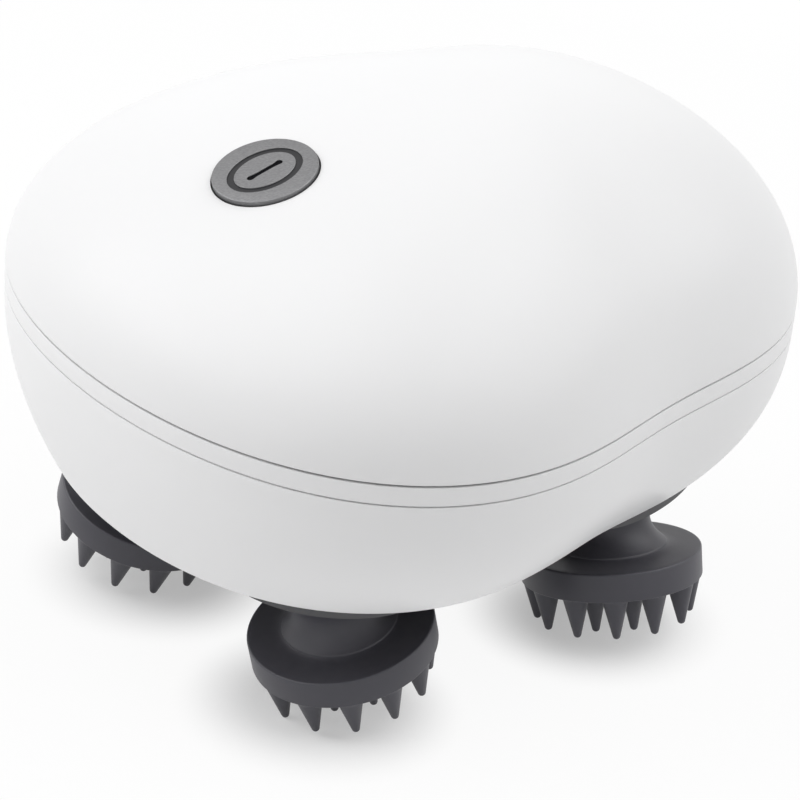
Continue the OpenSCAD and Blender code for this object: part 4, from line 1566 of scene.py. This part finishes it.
@dataclass
class KneadingHeads:
    """The four silicone heads on their tilted shaft ends.

    Attributes:
        pebble: the body's shape.
        gap_x: distance between left and right shafts.
        centre: distance of a shaft from the middle.
        tilt: lean of a head, in degrees.
        disc_r, rim_h: size of the disc.
        disc_edge: rounding of the disc's upper edge.
        tine_l, tine_r, tip_r: size of a tine.
        tine_more: how much longer the middle tines are.
        tip_over: how much longer its round tip is, so that it reaches the floor.
        ring_r, mid_r: where the tines stand.
        neck_r, neck_l: size of the neck.
        hub_r: radius of the hub inside.
        pivot_z: height where the shaft bends.
        smooth_angle: edges sharper than this stay sharp, in degrees.
    """

    pebble: Pebble
    gap_x: float = 46.6
    centre: float = 36.5
    tilt: float = 15.0
    disc_r: float = 14.9
    rim_h: float = 4.8
    disc_edge: float = 0.35
    tine_l: float = 6.8
    tine_r: float = 2.2
    tip_r: float = 0.65
    tine_more: float = 1.0
    tip_over: float = 0.14
    ring_r: float = 12.5
    mid_r: float = 6.2
    neck_r: float = 6.4
    neck_l: float = 7.9
    hub_r: float = 4.2
    pivot_z: float = 24.1
    smooth_angle: float = 40.0

    @property
    def places(self) -> list[Place]:
        """(x, y) of each shaft from the middle of the heads.

        Returns:
            The places, in millimetres.
        """
        x = self.gap_x / 2
        y = math.sqrt(self.centre ** 2 - x ** 2)
        return [(corner.value[1] * x, corner.value[2] * y) for corner in Corner]

    def _disc(self) -> Piece:
        """Neck, disc and rim of one head, round the Z axis with the disc's top at 0.

        Returns:
            One solid.
        """
        n, top, r, rim, edge = self.neck_r, self.neck_l, self.disc_r, self.rim_h, self.disc_edge
        flare = []
        for index in range(13):
            t = index / 12
            flare.append((n + 2.6 * t ** 2.4 + 0.3 * (1 - t) ** 3, (top - 1.4) - (top - 2.4) * t))
        profile = [
            (0, -2.4), (self.hub_r, -2.4), (self.hub_r, top - 0.2), (self.hub_r + 0.2, top),
            *arc((n + 0.1, top - 0.5), 0.5, 90, 0, 5),
            *flare,
            (n + 2.72, 0.92), (n + 2.8, 0.78), (n + 2.83, 0.62), (n + 3.05, 0.48),
            (n + 3.5, 0.33), (n + 4.1, 0.2), (n + 4.9, 0.1), (r - 1.2, 0.02),
            *arc((r - edge, -edge), edge, 90, 0, 5),
            *arc((r - 0.2, -rim + 0.2), 0.2, 0, -90, 4),
            (r - 1.2, -rim), (0, -rim),
        ]
        return lathe("disc", profile, ROUND)

    def _tine(self, length: float) -> Piece:
        """One tine, on the Z axis, with a fillet at its root and a round tip.

        Args:
            length: from the disc's underside to the tip.

        Returns:
            The new tine.
        """
        foot = -self.rim_h
        low = foot - length - self.tip_over
        tip = arc((0, low + self.tip_r), self.tip_r, -90, -14, 5)
        slope = (self.tine_r - self.tip_r) / length
        fillet = self.tine_r + 0.12
        root = [
            (self.tine_r - 0.6 * slope, foot - 0.6), (self.tine_r, foot - 0.15),
            (fillet, foot + 0.02), (fillet, foot + 0.5), (0, foot + 0.5),
        ]
        return lathe("tine", [(0, low), *tip[1:], *root], 28)

    def _tine_set(self) -> Piece:
        """Every tine of one head: an outer ring, and longer ones in an inner ring and the middle.

        Returns:
            All of them in one mesh.
        """
        outer = [(self.ring_r, degrees) for degrees in range(0, 360, 30)]
        inner = [(0.0, 0), *[(self.mid_r, degrees) for degrees in range(30, 360, 60)]]
        tines = []
        for length, places in ((self.tine_l, outer), (self.tine_l + self.tine_more, inner)):
            spots = []
            for radius, degrees in places:
                turn = math.radians(degrees)
                at = mm(radius * math.cos(turn), radius * math.sin(turn), 0)
                spots.append(Matrix.Translation(at))
            tines += on_spots(self._tine(length), spots)
        return join(tines, "tine_set")

    def build(self, finishes: Finishes) -> None:
        """Make one head, then a copy on each shaft.

        Args:
            finishes: every finish.
        """
        head = self._disc()
        combine(head, self._tine_set(), Cut.ADDED)
        smooth(head, math.radians(self.smooth_angle))
        total = self.rim_h + self.tine_l
        lean = math.radians(self.tilt)
        disc_z = total * math.cos(lean) + (self.ring_r + self.tip_r) * math.sin(lean)
        stub = (self.pivot_z - disc_z) / math.cos(lean)
        for corner, spot in zip(Corner, self.pebble.spots(self.places, self.pivot_z)):
            name, _, _, lean_to, turn = corner.value
            matrix = (
                spot
                @ Matrix.Rotation(math.radians(lean_to), 4, "Z")
                @ Matrix.Rotation(lean, 4, "Y")
                @ Matrix.Translation(mm(0, 0, -stub))
                @ Matrix.Rotation(math.radians(turn - lean_to), 4, "Z")
            )
            piece = copy_of(head, "kneading_head_" + name, matrix)
            finishes.dress(piece, "charcoal_silicone")
            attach(piece, "head_body_" + name)
            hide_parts("head_" + name)
        LOG.info("kneading head: %d faces", len(head.data.polygons))
        bpy.data.objects.remove(head)


# ------------------------------------------------------------------ button


@dataclass
class PowerButton:
    """The round brushed cap with its engraved oval ring and bar.

    Attributes:
        seat: where it sits on the dome.
        radius, thickness, proud: size of the cap.
        edge: rounding of its upper edge.
        depth, flare: of the engraving, and how much its upper edge slants.
        fill, fill_flare: thickness of the dark fill in it, and its slant; in the oval it is painted
            shade.
        long, wide, line: the oval, as shares of the radius.
        bar, bar_end, bar_waist: the bar, as shares of the radius.
        count: points round the cap and the oval; the bar has half as many.
    """

    seat: ButtonSeat
    radius: float = 8.3
    thickness: float = 1.4
    proud: float = 0.45
    edge: float = 0.22
    depth: float = 0.3
    flare: float = 0.06
    fill: float = 0.1
    fill_flare: float = 0.01
    long: float = 0.75
    wide: float = 0.61
    line: float = 0.13
    bar: float = 0.32
    bar_end: float = 0.072
    bar_waist: float = 0.05
    count: int = ROUND

    def _oval(self, grow: float, z: float, inner: bool) -> list[Vector]:
        """One edge of the oval groove.

        Args:
            grow: how much larger than its size, in millimetres.
            z: its height in the button's frame.
            inner: whether it is the inner edge.

        Returns:
            The points, in metres.
        """
        less = self.line if inner else 0.0
        a = (self.long - less) * self.radius + grow
        b = (self.wide - less) * self.radius + grow
        return [mm(-b * math.sin(t), a * math.cos(t), z) for t in turns(self.count)]

    def _groove(self, name: str, low: float, high: float, flare: float) -> Piece:
        """A solid oval ring with a slanting top edge.

        Args:
            name: the object's name.
            low: its lower height.
            high: the height of the middle of its top edge.
            flare: how much wider it is there.

        Returns:
            The solid.
        """
        outer = [(0, low), (0, high - flare), (2 * flare, high + flare)]
        inner = [(-2 * flare, high + flare), (0, high - flare), (0, low)]
        rings = [self._oval(grow, z, False) for grow, z in outer]
        rings += [self._oval(grow, z, True) for grow, z in inner]
        return solid(name, rings)

    def _bar_outline(self, grow: float, z: float) -> list[Vector]:
        """Points round the bar, which has fuller round ends.

        Args:
            grow: how much larger than its size, in millimetres.
            z: its height in the button's frame.

        Returns:
            The points, in metres.
        """
        reach, end, waist = (
            share * self.radius for share in (self.bar, self.bar_end, self.bar_waist)
        )
        count = self.count // 2
        points = []
        for index, turn in enumerate(turns(count)):
            y = (reach + end + grow) * math.cos(turn)
            past = abs(y) - reach
            if past > 0:
                half = math.sqrt(max(0.0, (end + grow) ** 2 - past ** 2))
            else:
                near = max(0.0, 1 + past / (2.2 * end))
                half = waist + grow + (end - waist) * near * near
            x = -math.copysign(half, math.sin(turn)) if 0 < index != count // 2 else 0.0
            points.append(mm(x, y, z))
        return points

    def _bar(self, name: str, low: float, high: float, flare: float) -> Piece:
        """A solid bar with a slanting top edge.

        Args:
            name: the object's name.
            low: its lower height.
            high: the height of the middle of its top edge.
            flare: how much wider it is there.

        Returns:
            The solid.
        """
        edges = [(0, low), (0, high - flare), (2 * flare, high + flare)]
        rings = [self._bar_outline(grow, z) for grow, z in edges]
        return solid(name, rings, mm(0, 0, low), mm(0, 0, high + flare))

    def build(self, finishes: Finishes) -> None:
        """Make the cap and the dark fill of its mark.

        Args:
            finishes: every finish.
        """
        top, low, r = self.proud, self.proud - self.thickness, self.radius
        profile = [
            (0, low), (r - 0.35, low), (r, low + 0.25),
            *arc((r - self.edge, top - self.edge), self.edge, 0, 90, 5),
            (r * 0.6, top), (0, top),
        ]
        cap = lathe("power_cap", profile, self.count)
        floor = top - self.depth
        combine(cap, self._groove("groove_tool", floor, top, self.flare), Cut.AWAY)
        combine(cap, self._bar("bar_tool", floor, top, self.flare), Cut.AWAY)
        merge_flats(cap)
        smooth(cap)
        place(cap, self.seat.matrix)
        finishes.dress(cap, "brushed_cap")
        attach(cap, "power_button")
        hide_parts("button_cap")
        # the oval's dark fill is painted shade in the groove; the bar's is a near-black fill
        for make, name in ((self._groove, "ring_shade_fill"), (self._bar, "bar_dark_fill")):
            fill = make("power_" + name, floor, floor + self.fill, self.fill_flare)
            smooth(fill)
            place(fill, self.seat.matrix)
            finishes.dress(fill, name)
            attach(fill, "power_button")
        LOG.info("power cap: %d faces", len(cap.data.polygons))


# ------------------------------------------------------------------ inner pieces


@dataclass(frozen=True)
class InnerPieces:
    """The CAD nodes that keep their shape, each field a finish and the nodes that have it."""

    steel: tuple[str, ...] = (
        "cover_screws", "central_pin", "second_pin", "first_pin", "motor_can", "motor_screws",
        "motor_shaft", "charge_socket", "charge_screws",
    )
    bronze: tuple[str, ...] = ("lower_bushes", "upper_bushes", "motor_pinion")
    acetal: tuple[str, ...] = (
        "gear_deck", "central_gear", "second_gear", "first_gear", "button_stem", "button_cup",
        "battery_cradle",
    )
    black_plastic: tuple[str, ...] = (
        "motor_end_cap", "tact_switch", "switch_plunger", "battery_straps", "board_parts",
    )
    seal_rubber: tuple[str, ...] = (
        "base_gasket", "shaft_seals", "stem_seal", "motor_leads", "battery_leads", "switch_leads",
    )
    solder_mask: tuple[str, ...] = ("switch_board", "main_board", "charge_board")
    cell_wrap: tuple[str, ...] = ("battery_cell",)

    def dress(self, finishes: Finishes) -> None:
        """Give each node its finish.

        Args:
            finishes: every finish.
        """
        for finish in fields(self):
            for node in getattr(self, finish.name):
                finishes.dress_node(finish.name, node)
        for corner in Corner:
            where = corner.value[0]
            finishes.dress_node("steel", "output_shaft_" + where)
            finishes.dress_node("acetal", "output_gear_" + where)
            finishes.dress_node("black_plastic", "hub_" + where)
        LOG.info("inner pieces dressed")


# ------------------------------------------------------------------ studio


@dataclass(frozen=True)
class Lamp:
    """One soft square lamp that looks at the object.

    Attributes:
        name: the lamp's name.
        right, front, up: its place as the camera sees it, in metres.
        size: of its square, in metres.
        power: in watts.
    """

    name: str
    right: float
    front: float
    up: float
    size: float
    power: float


@dataclass
class Studio:
    """Floor, lamps and camera.

    Attributes:
        azimuth, elevation: of the camera, in degrees.
        distance: of the camera from its aim.
        lens, sensor, reach: focal length and width of the sensor in millimetres, view in metres.
        roll: turn of the camera about its view, in degrees.
        shift_x, shift_y: of the picture on the sensor.
        aim: point the camera and lamps look at, in millimetres.
        floor_size, floor_colour: of the floor.
        heads_at: (x, y) of a head, and y of the middle of the four, in metres.
        glow_by_head: share of the floor that is plain white to the camera beside a head.
        glow_under: that share away from the heads, under and near the object, where it is painted
            light over the object's shadow.
        head_reach: distances from a head's axis where one passes into the other, in metres.
        far_reach: distances where the floor passes into plain white, in metres.
        ambient: strength of the surround as a light.
        lamps: every lamp.
    """

    azimuth: float = 51.78
    elevation: float = 27.79
    distance: float = 560.0
    lens: float = 157.83
    sensor: float = 36.0
    reach: float = 50.0
    roll: float = 5.05
    shift_x: float = 0.0846
    shift_y: float = -0.0028
    aim: tuple[float, float, float] = (0.0, -15.5, 40.0)
    floor_size: float = 8.0
    floor_colour: float = 0.9
    heads_at: tuple[float, float, float] = (0.0233, 0.0281, -0.0031)
    glow_by_head: float = 0.4
    glow_under: float = 0.93
    head_reach: Place = (0.009, 0.024)
    far_reach: Place = (0.09, 0.3)
    ambient: float = 0.31
    lamps: Sequence[Lamp] = (
        Lamp("key", right=-0.62, front=0.0, up=0.8, size=1.0, power=6.2),
        Lamp("second", right=0.6, front=0.0, up=0.8, size=1.0, power=5.7),
        Lamp("side", right=-0.9, front=-0.15, up=0.45, size=0.6, power=1.1),
        Lamp("rear", right=0.0, front=-0.8, up=0.5, size=0.8, power=0.35),
        Lamp("low", right=-0.7, front=0.75, up=0.2, size=0.35, power=0.5),
    )

    def _floor(self) -> None:
        """A wide pale floor: white to the camera, with painted light over the object's shadow except
        beside the heads, and clear from below.
        """
        floor = add(bpy.ops.mesh.primitive_plane_add, "floor", size=self.floor_size)
        material = bpy.data.materials.new("pale_floor")
        material.use_nodes = True
        wires = Wiring(material.node_tree)
        wires.tree.nodes.clear()
        paint = wires.node("BsdfDiffuse", {"Color": (*[self.floor_colour] * 3, 1.0)}).outputs[0]
        glow = wires.node("Emission", {"Strength": 1.0}).outputs[0]
        # painted light: the glow share covers the object's shadow on the floor, less so beside the
        # heads
        share = wires.maths("MULTIPLY", self._seen(wires), self._whiteness(wires))
        above = wires.node("MixShader", {0: share, 1: paint, 2: glow}).outputs[0]
        behind = wires.node("NewGeometry").outputs["Backfacing"]
        clear = wires.node("BsdfTransparent").outputs[0]
        sides = wires.node("MixShader", {0: behind, 1: above, 2: clear}).outputs[0]
        wires.node("OutputMaterial", {"Surface": sides})
        floor.data.materials.append(material)

    def _whiteness(self, wires: Wiring) -> Socket:
        """How much of the floor is plain white: least beside a head, all of it far away; under the
        object this is painted light that washes out most of its shadow.

        Args:
            wires: the floor's nodes.

        Returns:
            A share from 0 to 1.
        """
        x, y, middle = self.heads_at
        spot = wires.node("TexCoord").outputs["Object"]
        aside = wires.vectors("ABSOLUTE", wires.vectors("SUBTRACT", spot, (0.0, middle, 0.0)))
        from_head = wires.vectors("LENGTH", wires.vectors("SUBTRACT", aside, (x, y, 0.0)))
        fades = []
        for distance, reach, near, far in (
            (from_head, self.head_reach, self.glow_by_head, self.glow_under),
            (wires.vectors("LENGTH", spot), self.far_reach, 0.0, 1.0),
        ):
            inputs = {
                "Value": distance, "From Min": reach[0], "From Max": reach[1],
                "To Min": near, "To Max": far,
            }
            fade = wires.node("MapRange", inputs, interpolation_type="SMOOTHSTEP")
            fades.append(fade.outputs[0])
        return wires.maths("MAXIMUM", *fades)

    def _seen(self, wires: Wiring) -> Socket:
        """Whether a ray comes from the camera, a mirror or glass.

        Args:
            wires: the nodes.

        Returns:
            1 or 0.
        """
        path = wires.node("LightPath").outputs
        seen = path["Is Camera Ray"]
        for name in ("Is Glossy Ray", "Is Transmission Ray"):
            seen = wires.maths("MAXIMUM", seen, path[name])
        return seen

    def _world(self) -> None:
        """A white surround to look at, and a softer one to be lit by."""
        world = bpy.data.worlds.new("studio")
        bpy.context.scene.world = world
        world.use_nodes = True
        wires = Wiring(world.node_tree)
        level = wires.node(
            "MapRange", {"Value": self._seen(wires), "To Min": self.ambient, "To Max": 1.0}
        )
        background = wires.tree.nodes["Background"]
        wires.feed(background, {"Color": (1.0, 1.0, 1.0, 1.0), "Strength": level.outputs[0]})

    def _light(self) -> None:
        """Set up the lamps."""
        a = math.radians(self.azimuth)
        right = Vector((math.cos(a), math.sin(a), 0))
        front = Vector((math.sin(a), -math.cos(a), 0))
        up = Vector((0, 0, 1))
        for lamp in self.lamps:
            where = right * lamp.right + front * lamp.front + up * lamp.up
            light = add(bpy.ops.object.light_add, lamp.name, type="AREA", location=where)
            light.data.size = lamp.size
            light.data.energy = lamp.power
            to_object = Vector(self.aim) * MM - where
            light.rotation_euler = to_object.to_track_quat("-Z", "Y").to_euler()

    def _camera(self) -> None:
        """The camera, with a long lens."""
        a, e = math.radians(self.azimuth), math.radians(self.elevation)
        back = Vector((math.sin(a) * math.cos(e), -math.cos(a) * math.cos(e), math.sin(e)))
        where = (Vector(self.aim) + back * self.distance) * MM
        camera = add(bpy.ops.object.camera_add, "camera", location=where)
        camera.rotation_mode = "QUATERNION"
        level = (-back).to_track_quat("-Z", "Y").to_matrix()
        tilted = level @ Matrix.Rotation(math.radians(self.roll), 3, "Z")
        camera.rotation_quaternion = tilted.to_quaternion()
        camera.data.lens = self.lens
        camera.data.sensor_width = self.sensor
        camera.data.shift_x = self.shift_x
        camera.data.shift_y = self.shift_y
        camera.data.clip_end = self.reach
        bpy.context.scene.camera = camera

    def build(self) -> None:
        """Set up the whole studio."""
        self._floor()
        self._world()
        self._light()
        self._camera()
        bpy.context.scene.view_settings.view_transform = "Standard"
        LOG.info("studio ready")


# ------------------------------------------------------------------ the whole


def main() -> None:
    """Build every piece in order, then the studio."""
    logging.basicConfig(level=logging.INFO, format="%(name)s: %(message)s")
    finishes = Finishes(Effects())
    pebble = Pebble()
    seat = ButtonSeat(pebble)
    port = ChargePort(pebble)
    heads = KneadingHeads(pebble)
    TopCover(pebble, seat).build(finishes)
    TrimRing(pebble).build(finishes)
    LowerCasing(pebble, port, heads.places).build(finishes)
    BasePlate(pebble, heads.places).build(finishes)
    heads.build(finishes)
    PowerButton(seat).build(finishes)
    port.build(finishes)
    InnerPieces().dress(finishes)
    Studio().build()


if __name__ == "__main__":
    main()
